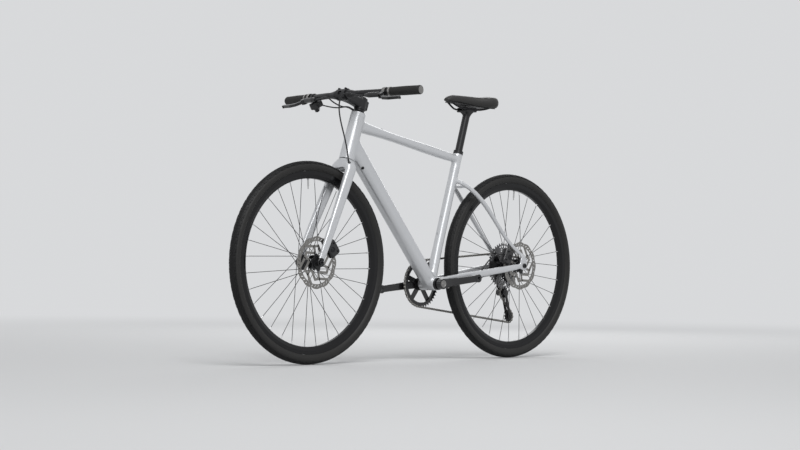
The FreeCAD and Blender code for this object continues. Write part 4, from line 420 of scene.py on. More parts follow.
silver_paint = silver_finish("silver_paint")
fork_paint = silver_finish("fork_paint")
black_anodised = finish_with(
    "black_anodised", (0.012, 0.012, 0.013), (0.020, 0.020, 0.022),
    scale=60.0, roughness=0.36, spread=0.12, metallic=0.3,
)
black_gloss = finish_with(
    "black_gloss", (0.008, 0.008, 0.009), (0.014, 0.014, 0.015),
    scale=40.0, roughness=0.24, spread=0.10, metallic=0.1, coat=0.25,
)
black_plastic = finish_with(
    "black_plastic", (0.012, 0.012, 0.013), (0.018, 0.018, 0.019), scale=90.0, roughness=0.52, spread=0.12
)
add_grain(black_plastic, scale=900.0, fine_scale=2500.0, fine_share=0.5, strength=0.12, depth=0.0002)
black_steel = finish_with(
    "black_steel", (0.012, 0.012, 0.014), (0.020, 0.020, 0.022),
    scale=120.0, roughness=0.34, spread=0.12, metallic=0.6,
)
tint_beyond(fork_paint, front_axle, fork_end_radius, (0.014, 0.014, 0.015), outside=False)
print("paint and black finishes", len(bpy.data.materials))

# %% [markdown]
# A tyre's side walls are a very dark grey, painted a little lighter than the tread as a painted sheen, and its
# tread is a darker black, which the radius mask starts at the shoulder. The grips have a coarse grain for the
# hand, and the saddle cover a fine one.

# %% Rubber and cover
tread_radius = 0.3372


def tyre_finish(name, centre):
    """Dark grey side walls painted lighter than the tread as a painted sheen, and a darker black tread."""
    # The side walls' lighter grey is a painted sheen; past tread_radius the tread gets a darker black.
    rubber = finish_with(
        name, (0.016, 0.0155, 0.015), (0.024, 0.0235, 0.023),
        scale=35.0, roughness=0.55, spread=0.14, specular=0.3,
    )
    add_grain(rubber, scale=700.0, fine_scale=2000.0, fine_share=0.6, strength=0.12, depth=0.0003)
    return tint_beyond(rubber, centre, tread_radius, (0.007, 0.007, 0.0075))


front_rubber = tyre_finish("front_tyre_rubber", front_axle)
rear_rubber = tyre_finish("rear_tyre_rubber", rear_axle)
grip_rubber = finish_with(
    "grip_rubber", (0.014, 0.0135, 0.013), (0.024, 0.0235, 0.023),
    scale=50.0, roughness=0.66, spread=0.14, specular=0.3,
)
add_grain(grip_rubber, scale=420.0, fine_scale=1600.0, fine_share=0.5, strength=0.5, depth=0.0006)
hose_rubber = finish_with(
    "hose_rubber", (0.010, 0.010, 0.011), (0.016, 0.016, 0.017),
    scale=60.0, roughness=0.42, spread=0.10, specular=0.4,
)
saddle_skin = finish_with(
    "saddle_skin", (0.020, 0.0195, 0.019), (0.032, 0.031, 0.030),
    scale=40.0, roughness=0.50, spread=0.16, specular=0.4,
)
add_grain(saddle_skin, scale=900.0, fine_scale=2600.0, fine_share=0.5, strength=0.25, depth=0.0004)
print("rubber and cover finishes", len(bpy.data.materials))

# %% [markdown]
# Rotors, chain and cogs are bare steel, so they are fully metallic, with a grey and a roughness that
# drift. Rivets and threaded bosses are bright alloy, caps, rings and crank bolts a greyer one, and the
# brake pads a brownish steel.

# %% Bare metal
rotor_steel = finish_with(
    "rotor_steel", (0.30, 0.29, 0.275), (0.21, 0.205, 0.195),
    scale=260.0, roughness=0.34, spread=0.16, metallic=1.0,
)
chain_steel = finish_with(
    "chain_steel", (0.30, 0.29, 0.275), (0.20, 0.195, 0.185),
    scale=300.0, roughness=0.34, spread=0.16, metallic=1.0,
)
cog_steel = finish_with(
    "cog_steel", (0.26, 0.26, 0.265), (0.17, 0.17, 0.175),
    scale=160.0, roughness=0.32, spread=0.14, metallic=1.0,
)
pad_steel = finish_with(
    "pad_steel", (0.20, 0.17, 0.14), (0.14, 0.12, 0.10),
    scale=160.0, roughness=0.55, spread=0.15, metallic=0.6,
)
silver_alloy = finish_with(
    "silver_alloy", (0.55, 0.555, 0.56), (0.45, 0.455, 0.46),
    scale=120.0, roughness=0.32, spread=0.10, metallic=1.0,
)
grey_alloy = finish_with(
    "grey_alloy", (0.30, 0.295, 0.285), (0.23, 0.225, 0.22),
    scale=140.0, roughness=0.40, spread=0.12, metallic=0.9,
)
print("metal finishes", len(bpy.data.materials))

# %% [markdown]
# Rims and spokes are black, with a bright valve inside the rim and bright nipples at the spokes' ends.
# The radius mask picks both out.

# %% Rims and spokes
rim_inside = 0.2866
nipple_start = 0.2746


def rim_finish(name, centre):
    """Black rim with a bright valve inside it."""
    black = finish_with(
        name, (0.006, 0.006, 0.007), (0.010, 0.010, 0.011),
        scale=30.0, roughness=0.17, spread=0.06, metallic=0.45,
    )
    return tint_beyond(black, centre, rim_inside, (0.5, 0.5, 0.5), outside=False)


def spoke_finish(name, centre):
    """Black spokes with bright nipples at the rim."""
    black = finish_with(
        name, (0.012, 0.012, 0.014), (0.020, 0.020, 0.022),
        scale=120.0, roughness=0.34, spread=0.12, metallic=0.7,
    )
    return tint_beyond(black, centre, nipple_start, (0.62, 0.62, 0.63))


finishes = {
    "front_rim": rim_finish("front_rim_black", front_axle),
    "rear_rim": rim_finish("rear_rim_black", rear_axle),
    "front_spokes": spoke_finish("front_spoke_black", front_axle),
    "rear_spokes": spoke_finish("rear_spoke_black", rear_axle),
}
print("wheel finishes", len(finishes))

# %% [markdown]
# Every solid gets one finish, by name. The solids keep their shapes: only what fills their material slots
# is new.

# %% Finishes on the solids
for material, names in (
    (silver_paint, "head_tube top_tube down_tube seat_tube bottom_bracket_shell chainstays seatstays"),
    (silver_paint, "rear_dropouts"),
    (fork_paint, "fork_crown fork_blades"),
    (black_anodised, "seat_clamp rear_axle front_axle frame_bearings headset_cover stem stem_faceplate"),
    (black_anodised, "handlebar front_hub rear_hub seatpost saddle_clamp derailleur_hanger"),
    (black_gloss, "left_crank_arm right_crank_arm chainring lever_housings left_brake_lever"),
    (black_gloss, "right_brake_lever rear_caliper front_caliper derailleur_body derailleur_cage"),
    (black_plastic, "shifter_housing downshift_lever upshift_lever saddle_base"),
    (black_plastic, "guide_pulley tension_pulley"),
    (front_rubber, "front_tyre"),
    (rear_rubber, "rear_tyre"),
    (grip_rubber, "grips"),
    (hose_rubber, "control_hoses rear_cables"),
    (saddle_skin, "saddle_cover"),
    (rotor_steel, "front_rotor rear_rotor"),
    (chain_steel, "chain"),
    (cog_steel, "cassette"),
    (pad_steel, "front_outer_pad front_inner_pad rear_outer_pad rear_inner_pad"),
    (silver_alloy, "threaded_bosses"),
    (black_steel, "stem_bolts saddle_rails"),
):
    for name in names.split():
        finishes[name] = material
for name, node in frame["nodes"].items():
    node.data.materials.clear()
    node.data.materials.append(finishes[name])
print("finishes", len(bpy.data.materials), "on", len(frame["nodes"]), "solids")

# %% [markdown]
# Brake hoses and shift housings are made of something springy, so each is one smooth curve through the
# same points as its solid, with both ends inside the bike. The lengths are those of the solids.

# %% Hoses and housings
hose_diameter = 0.005
housing_diameter = 0.0046


def hose(name, body, node, diameter, length, route):
    """A hose or housing along a smooth curve."""
    curve = bpy.data.curves.new(name, "CURVE")
    curve.dimensions = "3D"
    curve.bevel_depth = diameter / 2
    curve.bevel_resolution = 5
    curve.use_fill_caps = True
    spline = curve.splines.new("NURBS")
    spline.points.add(len(route) - 1)
    for point, place in zip(spline.points, route):
        point.co = (*place, 1.0)
    spline.order_u = 3
    spline.use_endpoint_u = True
    spline.resolution_u = 10
    curve.materials.append(hose_rubber)
    piece = add_object(name, curve)
    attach(piece, body)
    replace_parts(piece, node)
    print(name, "length", length)


print("hoses", hose_diameter, "and housings", housing_diameter, "across")

# %% [markdown]
# At the bar, the front brake hose leaves its lever, loops in front of the stem and runs down into the
# fork. The rear brake hose and the shift housing turn in under the stem.

# %% Hoses at the bar
front_route = [
    (0.3776, 0.1283, 0.9229),
    (0.3824, 0.0977, 0.9229),
    (0.3941, 0.0460, 0.9378),
    (0.3971, 0.0220, 0.9178),
    (0.3981, 0.0180, 0.8798),
    (0.3931, 0.0240, 0.8338),
    (0.3811, 0.0310, 0.7838),
    (0.3721, 0.0360, 0.7378),
    (0.3689, 0.0400, 0.6963),
    (0.3609, 0.0410, 0.6726),
]
rear_route = [
    (0.3776, -0.1283, 0.9229),
    (0.3821, -0.0997, 0.9229),
    (0.3921, -0.0520, 0.9298),
    (0.3801, -0.0280, 0.9058),
    (0.3481, -0.0160, 0.8918),
    (0.3229, -0.0100, 0.8964),
    (0.3000, -0.0060, 0.8826),
]
shift_route = [
    (0.3526, -0.1456, 0.9051),
    (0.3573, -0.1160, 0.9051),
    (0.3721, -0.0600, 0.8938),
    (0.3501, -0.0360, 0.8898),
    (0.3215, -0.0180, 0.8975),
    (0.3017, -0.0130, 0.8837),
]
hose("front_hose", "steering", "control_hoses", hose_diameter, length=0.364, route=front_route)
hose("rear_hose", "steering", "control_hoses", hose_diameter, length=0.198, route=rear_route)
hose("shift_housing", "steering", "control_hoses", housing_diameter, length=0.177, route=shift_route)

# %% [markdown]
# At the back, the brake hose leaves the chainstay for the caliper, and the shift housing makes one open
# loop round to the derailleur.

# %% Hoses at the back
caliper_route = [
    (-0.4292, 0.0640, 0.3842),
    (-0.4064, 0.0640, 0.3944),
    (-0.3605, 0.0590, 0.3840),
    (-0.3265, 0.0560, 0.3600),
    (-0.2965, 0.0500, 0.3220),
]
derailleur_route = [
    (-0.4365, -0.0731, 0.3360),
    (-0.4665, -0.0881, 0.3320),
    (-0.5025, -0.1031, 0.3240),
    (-0.5405, -0.1071, 0.3140),
    (-0.5615, -0.1011, 0.2960),
    (-0.5625, -0.0881, 0.2740),
    (-0.5445, -0.0721, 0.2520),
]
hose("caliper_hose", "frame", "rear_cables", hose_diameter, length=0.161, route=caliper_route)
hose("derailleur_housing", "frame", "rear_cables", housing_diameter, length=0.197, route=derailleur_route)

# %% [markdown]
# A welded alloy frame has no seams: tubes flow into each other over a smooth fillet. The solids are
# separate tubes that meet along sharp lines, so the frame gets one skin. It starts from copies of the
# tubes, emptied of their inner walls and closed. Ends that a cap or a cup sits on are made too long at
# first.

# %% Copies of the solids
join_reach = 0.000002
end_slack = 0.0004
spare_end = 0.006
outward_share = 0.2
on_axis = 0.000001


def steer_point(along, ahead=0.0, side=0.0):
    """A point on the steering axis, in millimetres from the fork crown, moved ahead and to the left."""
    return crown + (steer_up * along + steer_ahead * ahead + left * side) / 1000


def merged_copy(name):
    """A bmesh copy of a solid with its loose triangles joined."""
    bm = bmesh.new()
    bm.from_mesh(frame["nodes"][name].data)
    bmesh.ops.remove_doubles(bm, verts=bm.verts, dist=join_reach)
    return bm


def drop_inner_walls(bm, first, last):
    """Takes away the faces that look at a tube's axis, and its end rims, and closes what is left."""
    axis = (last - first).normalized()
    inner = []
    for face in bm.faces:
        offset = face.calc_center_median() - first
        radial = offset - axis * offset.dot(axis)
        if radial.length < on_axis or face.normal.dot(radial.normalized()) < outward_share:
            inner.append(face)
    bmesh.ops.delete(bm, geom=inner, context="FACES")
    bmesh.ops.holes_fill(bm, edges=bm.edges, sides=0)
    return bm


def lengthen(bm, base, axis):
    """Moves every point past an end's plane further out, to be cut off again later."""
    past = [v for v in bm.verts if (v.co - base).dot(axis) > -end_slack]
    bmesh.ops.translate(bm, vec=axis * spare_end, verts=past)


print("copy helpers ready")

# %% [markdown]
# A voxel remesh turns the overlapping copies into one closed surface of even faces. Shells that were
# caught inside are then dropped, because nothing shows of them.

# %% One closed surface


def remove_object(thing):
    """Takes a helper object and its mesh away."""
    mesh = thing.data
    bpy.data.objects.remove(thing)
    bpy.data.meshes.remove(mesh)


def one_skin(parts, voxel):
    """One watertight skin round several closed shells."""
    whole = bmesh.new()
    for part in parts:
        part_mesh = bpy.data.meshes.new("part")
        part.to_mesh(part_mesh)
        part.free()
        whole.from_mesh(part_mesh)
        bpy.data.meshes.remove(part_mesh)
    bmesh.ops.triangulate(whole, faces=whole.faces)
    bmesh.ops.recalc_face_normals(whole, faces=whole.faces)
    shells = add_object("shells", bpy.data.meshes.new("shells"))
    whole.to_mesh(shells.data)
    whole.free()
    remesh = shells.modifiers.new("remesh", "REMESH")
    remesh.mode = "VOXEL"
    remesh.voxel_size = voxel
    skin = bmesh.new()
    skin.from_object(shells, bpy.context.evaluated_depsgraph_get())
    remove_object(shells)
    return skin


def islands(bm):
    """Connected groups of points."""
    groups = []
    reached = set()
    for seed in bm.verts:
        if seed in reached:
            continue
        group = [seed]
        reached.add(seed)
        for vert in group:
            for edge in vert.link_edges:
                other = edge.other_vert(vert)
                if other not in reached:
                    reached.add(other)
                    group.append(other)
        groups.append(group)
    return groups


def span(group):
    """How far a group of points reaches, from corner to corner of its box."""
    low = Vector([min(v.co[axis] for v in group) for axis in range(3)])
    high = Vector([max(v.co[axis] for v in group) for axis in range(3)])
    return (high - low).length


def keep_largest(bm):
    """Leaves only the group of points that spans the most."""
    groups = sorted(islands(bm), key=span, reverse=True)
    spare = [v for group in groups[1:] for v in group]
    bmesh.ops.delete(bm, geom=spare, context="VERTS")
    return len(groups)


print("surface helpers ready")

# %% [markdown]
# Smoothing near the joints gives the fillets of the welds, and the long ends are cut off flat, so that
# they stay crisp. A fine groove round the head tube marks the bearing cover.

# %% Smoothing and cutting
groove_half = 0.9
groove_depth = 0.0009
groove_slack = 0.00005


def smooth(bm, verts, rounds=1):
    """Moves points toward the middle of their neighbours, in every direction."""
    for _ in range(rounds):
        bmesh.ops.smooth_vert(bm, verts=verts, factor=0.5, use_axis_x=True, use_axis_y=True, use_axis_z=True)


def smooth_near(bm, spots, rounds):
    """Smooths the points inside a few balls."""
    near = [v for v in bm.verts if any((v.co - spot).length < radius for spot, radius in spots)]
    smooth(bm, near, rounds)
    return len(near)


def geometry_near(bm, base, reach):
    """The points, edges and faces that lie wholly within reach of a point."""
    verts = [v for v in bm.verts if (v.co - base).length < reach]
    chosen = set(verts)
    edges = [e for e in bm.edges if e.verts[0] in chosen and e.verts[1] in chosen]
    faces = [f for f in bm.faces if all(v in chosen for v in f.verts)]
    return verts + edges + faces


def cut_flat(bm, base, axis, reach):
    """Cuts off what lies past a plane, close to one point, and closes the cut."""
    near = geometry_near(bm, base, reach)
    result = bmesh.ops.bisect_plane(bm, geom=near, plane_co=base, plane_no=axis, clear_outer=True)
    rim = [e for e in result["geom_cut"] if isinstance(e, bmesh.types.BMEdge)]
    bmesh.ops.holes_fill(bm, edges=rim, sides=0)


def ring_groove(bm, along, reach):
    """A fine groove round the head tube, at a distance along the steering axis in millimetres."""
    for offset in (-groove_half, 0.0, groove_half):
        base = steer_point(along + offset)
        near = geometry_near(bm, base, reach)
        bmesh.ops.bisect_plane(bm, geom=near, plane_co=base, plane_no=steer_up)
    base = steer_point(along)
    for vert in bm.verts:
        offset = vert.co - base
        if offset.length < reach and abs(offset.dot(steer_up)) < groove_slack:
            vert.co -= offset.normalized() * groove_depth


print("smoothing helpers ready")

# %% [markdown]
# Caps, nuts, rings and bolts are all turned parts. A profile is drawn once, along and across an axis, and
# spun round it.

# %% Turned forms


def turned(bm, base, axis, profile, steps=40):
    """Adds a turned form: a profile of places along an axis and radii, spun round it."""
    side = axis.orthogonal().normalized()
    verts = [bm.verts.new(base + axis * along + side * radius) for along, radius in profile]
    edges = [bm.edges.new(pair) for pair in zip(verts, verts[1:])]
    bmesh.ops.spin(
        bm, geom=verts + edges, cent=base, axis=axis, angle=2 * math.pi, steps=steps, use_merge=True
    )
    bmesh.ops.remove_doubles(bm, verts=bm.verts, dist=0.000005)


def in_metres(profile):
    """A profile given in millimetres."""
    return [(along / 1000, radius / 1000) for along, radius in profile]


def bolt_head(bm, base, axis, radius, height):
    """Adds a round bolt head with a chamfer and a socket."""
    profile = [
        (-0.0006, radius * 0.95),
        (height * 0.75, radius),
        (height, radius * 0.82),
        (height, radius * 0.52),
        (height * 0.3, radius * 0.46),
        (height * 0.3, 0.0),
    ]
    turned(bm, base, axis, profile, steps=24)


print("turning helpers ready")

# %% [markdown]
# Every new piece gets its finish and the body it rides on in one call. Skins are shaded smooth all over. Turned
# and cut pieces keep their sharp edges, and blocks and bands are left flat.

# %% Finished pieces
sharp_edge = math.radians(35)


def new_piece(name, bm, material, body, shade="creased"):
    """Makes an object from a bmesh, with its finish and, unless it bends, its body."""
    bmesh.ops.recalc_face_normals(bm, faces=bm.faces)
    mesh = bpy.data.meshes.new(name)
    bm.to_mesh(mesh)
    bm.free()
    piece = add_object(name, mesh)
    mesh.materials.append(material)
    if shade == "flat":
        mesh.shade_flat()
    else:
        mesh.shade_smooth()
    if shade == "creased":
        mesh.set_sharp_from_angle(angle=sharp_edge)
    if body is not None:
        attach(piece, body)
    print(name, "triangles", sum(len(p.vertices) - 2 for p in mesh.polygons))
    return piece


print("piece helper ready")

# %% [markdown]
# Now the frame itself. The tubes, stays and dropouts become one skin.

# %% Frame parts
skin_voxel = 0.0025
shell_half = 0.0365
top_tube_along = 131.0
down_tube_along = 62.0
head_top = steer_point(175.0)
head_low = steer_point(0.6)
seat_top = bracket + seat_up * 0.499
down_top = steer_point(down_tube_along)
top_front = steer_point(top_tube_along)
top_back = bracket + seat_up * 0.479

head = drop_inner_walls(merged_copy("head_tube"), head_low, head_top)
lengthen(head, head_top, steer_up)
lengthen(head, head_low, -steer_up)
seat = drop_inner_walls(merged_copy("seat_tube"), bracket, seat_top)
lengthen(seat, seat_top, seat_up)
shell = drop_inner_walls(merged_copy("bottom_bracket_shell"), bracket - left, bracket + left)
lengthen(shell, bracket + left * shell_half, left)
lengthen(shell, bracket - left * shell_half, -left)
frame_parts = [
    head,
    seat,
    shell,
    drop_inner_walls(merged_copy("down_tube"), down_top, bracket),
    drop_inner_walls(merged_copy("top_tube"), top_front, top_back),
    merged_copy("chainstays"),
    merged_copy("seatstays"),
    merged_copy("rear_dropouts"),
]
skin = one_skin(frame_parts, skin_voxel)
print("frame shells", keep_largest(skin))

# %% [markdown]
# The welds are smoothed in balls round the places where tubes meet, each with its own radius. Then the
# five open ends are cut to length.

# %% Frame skin
weld_rounds = 14
head_back = -26.0
stay_spread = 0.0752
stay_top = bracket + seat_up * 0.399
welds = [
    (steer_point(top_tube_along, head_back), 0.040),
    (steer_point(top_tube_along - 24.0, head_back), 0.022),
    (steer_point(down_tube_along - 16.0, head_back), 0.052),
    (top_back + Vector((0.016, 0, 0)), 0.032),
    (bracket, 0.075),
    (stay_top, 0.036),
]
for side in (1, -1):
    chainstay_end = rear_axle + Vector((0.0225, side * stay_spread, -0.002))
    seatstay_end = rear_axle + Vector((0.0045, side * stay_spread, 0.040))
    seatstay_bend = Vector((-0.238, side * 0.030, 0.634))
    welds += [(chainstay_end, 0.020), (seatstay_end, 0.020), (seatstay_bend, 0.024)]
smooth(skin, skin.verts)
print("weld points", smooth_near(skin, welds, weld_rounds))
smooth(skin, skin.verts)
cut_flat(skin, head_top, steer_up, reach=0.040)
cut_flat(skin, steer_point(1.8), -steer_up, reach=0.040)
ring_groove(skin, 159.0, reach=0.034)
cut_flat(skin, seat_top, seat_up, reach=0.028)
cut_flat(skin, bracket + left * shell_half, left, reach=0.030)
cut_flat(skin, bracket - left * shell_half, -left, reach=0.030)
frame_skin = new_piece("frame_skin", skin, silver_paint, "frame", shade="smooth")
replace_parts(frame_skin, "head_tube", "top_tube", "down_tube", "seat_tube", "bottom_bracket_shell")
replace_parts(frame_skin, "chainstays", "seatstays", "rear_dropouts")

# %% [markdown]
# The fork is moulded in one: the crown swells out of the head tube's line and runs into two blades. It
# gets the same kind of skin. The steerer inside the head tube is cut off at the crown, because nothing of
# it shows.

# %% Fork skin
fork_rounds = 16
fork_top = merged_copy("fork_crown")
cut_flat(fork_top, steer_point(0.0), steer_up, reach=0.4)
lengthen(fork_top, steer_point(0.0), steer_up)
skin = one_skin([fork_top, merged_copy("fork_blades")], skin_voxel)
print("fork shells", keep_largest(skin))
fork_joints = [(steer_point(-14.0), 0.034)]
for side in (1, -1):
    fork_joints.append((steer_point(-40.0, 5.0, side * 38.0), 0.040))
    fork_joints.append((front_axle + Vector((0.0, side * 0.056, 0.008)), 0.030))
smooth(skin, skin.verts)
print("fork joint points", smooth_near(skin, fork_joints, fork_rounds))
smooth(skin, skin.verts)
cut_flat(skin, steer_point(-1.2), steer_up, reach=0.045)
fork_skin = new_piece("fork_skin", skin, fork_paint, "steering", shade="smooth")
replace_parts(fork_skin, "fork_crown", "fork_blades")

# %% [markdown]
# The tyres carry a low all-road tread: tight small blocks along the middle and bolder knobs on the
# shoulders. A casing comes first. Its section is drawn by angle round the middle of the tyre, a little
# fuller in the side walls than under the tread, and spun about the axle.

# %% Tyre casing
casing_ring = 0.3285
tread_half = 0.0182
wall_swell = 0.0012
swell_start = 56.0
swell_span = 18.0
tyre_steps = 216
casing_side = [-139, -128, -116, -104, -92, -80, -71, -62, -51, -40, -30, -20, -10]
casing_angles = casing_side + [0] + [-angle for angle in reversed(casing_side)]


def tyre_casing(centre):
    """A closed tyre section, spun about the axle."""
    bm = bmesh.new()
    verts = []
    for angle in casing_angles:
        share = min(1.0, max(0.0, (abs(angle) - swell_start) / swell_span))
        radius = tread_half + wall_swell * share
        x = casing_ring + radius * math.cos(math.radians(angle))
        y = radius * math.sin(math.radians(angle))
        verts.append(bm.verts.new(centre + Vector((x, y, 0.0))))
    edges = [bm.edges.new(pair) for pair in zip(verts, verts[1:] + verts[:1])]
    bmesh.ops.spin(
        bm, geom=verts + edges, cent=centre, axis=left, angle=2 * math.pi, steps=tyre_steps, use_merge=True
    )
    bmesh.ops.recalc_face_normals(bm, faces=bm.faces)
    return bm


print("casing of", len(casing_angles), "rows and", tyre_steps, "steps")

# %% [markdown]
# Chosen faces of the casing are then inset and raised, which gives each block its own sloping flanks. The
# blocks alternate like a chequerboard, and the knobs leave out every third face.

# %% Tyres
block_edge = 41.0
knob_edge = 62.0
row_span = 10.0


def tyre_skin(name, node, body, centre, rubber):
    """Tyre with raised tread blocks."""
    bm = tyre_casing(centre)
    blocks = []
    knobs = []
    for face in bm.faces:
        spot = face.calc_center_median() - centre
        radial = math.hypot(spot.x, spot.z) - casing_ring
        lean = abs(math.degrees(math.atan2(spot.y, radial)))
        step = int((math.degrees(math.atan2(spot.z, spot.x)) % 360.0) / (360.0 / tyre_steps))
        row = int(lean // row_span)
        if lean < block_edge and (step + row + (1 if spot.y > 0 else 0)) % 2 == 0:
            blocks.append(face)
        elif block_edge <= lean < knob_edge and step % 3 != row % 3:
            knobs.append(face)
    bmesh.ops.inset_individual(bm, faces=blocks, thickness=0.0006, depth=0.0011)
    bmesh.ops.inset_individual(bm, faces=knobs, thickness=0.0007, depth=0.0019)
    print(name, "blocks", len(blocks), "knobs", len(knobs))
    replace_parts(new_piece(name, bm, rubber, body, shade="flat"), node)


tyre_skin("front_tyre_tread", "front_tyre", "front_wheel", front_axle, front_rubber)
tyre_skin("rear_tyre_tread", "rear_tyre", "rear_wheel", rear_axle, rear_rubber)

# %% [markdown]
# Each brake rotor is a wavy steel track on a zigzag web, held by a black star on the hub. The track is
# cut from a copy of the solid with a Boolean, which takes the middle out.

# %% Rotor track
track_inside = 0.0732
front_rotor_y = 0.038
rear_rotor_y = 0.055


def rotor_spot(axle, y, radius, degrees):
    """A point of a rotor at a place across the bike, from a radius in millimetres and an angle."""
    angle = math.radians(degrees)
    out = Vector((math.cos(angle), 0.0, math.sin(angle))) * (radius / 1000)
    return Vector((axle.x, y, axle.z)) + out


def rotor_track(node, axle, y):
    """The outer ring of a rotor, cut out of a copy of the solid."""
    track = add_object("track", bpy.data.meshes.new("track"))
    core = add_object("core", bpy.data.meshes.new("core"))
    bm = merged_copy(node)
    bm.to_mesh(track.data)
    bm.free()
    bm = bmesh.new()
    place = Matrix.Translation((axle.x, y, axle.z)) @ Matrix.Rotation(math.pi / 2, 4, "X")
    bmesh.ops.create_cone(
        bm, cap_ends=True, segments=120, radius1=track_inside, radius2=track_inside, depth=0.02, matrix=place
    )
    bm.to_mesh(core.data)
    bm.free()
    cut = track.modifiers.new("cut", "BOOLEAN")
    cut.operation = "DIFFERENCE"
    cut.solver = "EXACT"
    cut.object = core
    ring = bmesh.new()
    ring.from_object(track, bpy.context.evaluated_depsgraph_get())
    remove_object(track)
    remove_object(core)
    return ring


print("track inside radius", track_inside)

# %% [markdown]
# The web starts as a closed line of corners with six arms, drawn across its thickness. A Solidify
# modifier gives it its width, and keeps the band even round every corner.

# %% Rotor web
web_half = 0.00082
web_width = 0.0086
web_turns = 6
web_step = 60.0
web_corners = ((33.0, 16.0), (58.0, -24.0), (56.0, -42.0))
arm_tip = (76.0, -72.0)


def rotor_web(axle, y):
    """Ribbons along the zigzag and its six arms, as wide as the rotor is thick."""
    bm = bmesh.new()
    low = y - web_half

    def corner(turn, radius, degrees):
        """A point of the web's lower edge, in one of its turns."""
        return bm.verts.new(rotor_spot(axle, low, radius, degrees - web_step * turn))

    corners = [corner(turn, *spot) for turn in range(web_turns) for spot in web_corners]
    lines = [bm.edges.new(pair) for pair in zip(corners, corners[1:] + corners[:1])]
    for turn in range(web_turns):
        lines.append(bm.edges.new((corner(turn, *web_corners[-1]), corner(turn, *arm_tip))))
    ribbon = bmesh.ops.extrude_edge_only(bm, edges=lines)["geom"]
    raised = [v for v in ribbon if isinstance(v, bmesh.types.BMVert)]
    bmesh.ops.translate(bm, vec=left * (2 * web_half), verts=raised)
    return bm


print("web", web_width, "wide")

# %% [markdown]
# Both rotors are put together from track, web and a ring of rivets that hold the web to the star.

# %% Brake rotors
rivet_rise = 0.0034
for wheel, axle, y in (("front", front_axle, front_rotor_y), ("rear", rear_axle, rear_rotor_y)):
    node = wheel + "_rotor"
    body = wheel + "_wheel"
    track = new_piece(node + "_track", rotor_track(node, axle, y), rotor_steel, body)
    web = new_piece(node + "_web", rotor_web(axle, y), rotor_steel, body, shade="flat")
    width = web.modifiers.new("width", "SOLIDIFY")
    width.thickness = web_width
    width.offset = 0.0
    width.use_even_offset = True
    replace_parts(track, node)
    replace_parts(web, node)
    rivets = bmesh.new()
    inner_radius, inner_degrees = web_corners[0]
    for turn in range(web_turns):
        base = rotor_spot(axle, y + rivet_rise, inner_radius, inner_degrees + web_step * turn)
        bolt_head(rivets, base, left, radius=0.0026, height=0.0012)
    new_piece(node + "_rivets", rivets, silver_alloy, body)

# %% [markdown]
# The chain is made of stiff links, but as a whole it bends like a cord. When the derailleur's cage swings, the
# chain has to go along with the lower pulley. Here a copy of the solid takes the chain's place, with no body, and
# its placement is baked into its points.

# %% Chain
chain_links = new_piece("chain_links", merged_copy("chain"), chain_steel, None)
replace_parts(chain_links, "chain")
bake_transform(chain_links)

# %% [markdown]
# The saddle is firm foam under a stretched cover. The padded form starts from the solid's own shape,
# remeshed evenly and relaxed. Its points are then moved with soft falloffs: down along the middle for a
# shallow relief channel, up for a crown behind the nose, and back at the nose's tip.

# %% Saddle padding
saddle_voxel = 0.003
relax_rounds = 6
relax_again = 2
upward_share = 0.2
channel_start = 0.2
channel_end = 0.93
channel_depth = 0.0045
channel_half = 0.011
saddle_crown = 0.0065
crown_start = 0.12
crown_span = 0.45
nose_tuck = 0.010
nose_share = 0.4

padding_form = one_skin([merged_copy("saddle_cover")], saddle_voxel)
keep_largest(padding_form)
smooth(padding_form, padding_form.verts, relax_rounds)
saddle_low, saddle_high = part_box("saddle_cover")
saddle_length = saddle_high[0] - saddle_low[0]
for vert in padding_form.verts:
    share = (saddle_high[0] - vert.co.x) / saddle_length
    facing_up = 0.5 + 0.5 * vert.normal.z
    channel = 0.0
    if vert.normal.z > upward_share and channel_start < share < channel_end:
        channel = math.sin(math.pi * (share - channel_start) / (channel_end - channel_start)) ** 0.5
    vert.co.z -= channel_depth * channel * math.exp(-((vert.co.y / channel_half) ** 2))
    rise = min(1.0, max(0.0, (share - crown_start) / crown_span))
    vert.co.z += saddle_crown * facing_up * rise * rise * (3.0 - 2.0 * rise)
    vert.co.x -= nose_tuck * max(0.0, 1.0 - share / nose_share) ** 2
smooth(padding_form, padding_form.verts, relax_again)
padding = new_piece("saddle_padding", padding_form, saddle_skin, "seat", shade="smooth")
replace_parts(padding, "saddle_cover")

# %% [markdown]
# The grips have a lock ring at the inner end and a cap at the outer one, and the brake levers sit on
# bands. All of it is turned from profiles, in millimetres along and across the bar.

# %% Grip and lever trim
bar_middle_x = 0.3601
bar_height = 0.9338
bar_knee = 0.080
bar_sweep = math.radians(9.0)
bar_end = 0.33919
grip_length = 0.130
lever_band = 0.192


def bar_spot(side, along):
    """A point on the swept part of the bar, and the direction outward along it."""
    outward = Vector((-math.sin(bar_sweep), side * math.cos(bar_sweep), 0.0))
    knee = Vector((bar_middle_x, side * bar_knee, bar_height))
    return knee + outward * (along - bar_knee), outward


cap_profile = in_metres([
    (2.2, 13.4), (2.65, 13.2), (2.8, 12.4), (3.25, 9.4), (2.95, 8.8), (3.05, 7.4), (3.45, 6.8), (3.5, 0.0)
])
ring_profile = in_metres([
    (0.6, 15.2), (0.8, 15.9), (3.6, 16.1), (4.0, 15.7), (5.6, 15.7), (6.0, 16.1), (8.8, 15.9), (9.0, 15.2)
])
band_profile = in_metres([(-5.6, 15.6), (-5.2, 16.2), (-1.0, 16.5), (1.0, 16.5), (5.2, 16.2), (5.6, 15.6)])
caps = bmesh.new()
rings = bmesh.new()
for side in (1, -1):
    turned(caps, *bar_spot(side, bar_end), cap_profile)
    turned(rings, *bar_spot(side, bar_end - grip_length), ring_profile)
    turned(rings, *bar_spot(side, lever_band), band_profile)
new_piece("grip_caps", caps, grey_alloy, "steering")
new_piece("grip_rings", rings, grey_alloy, "steering")

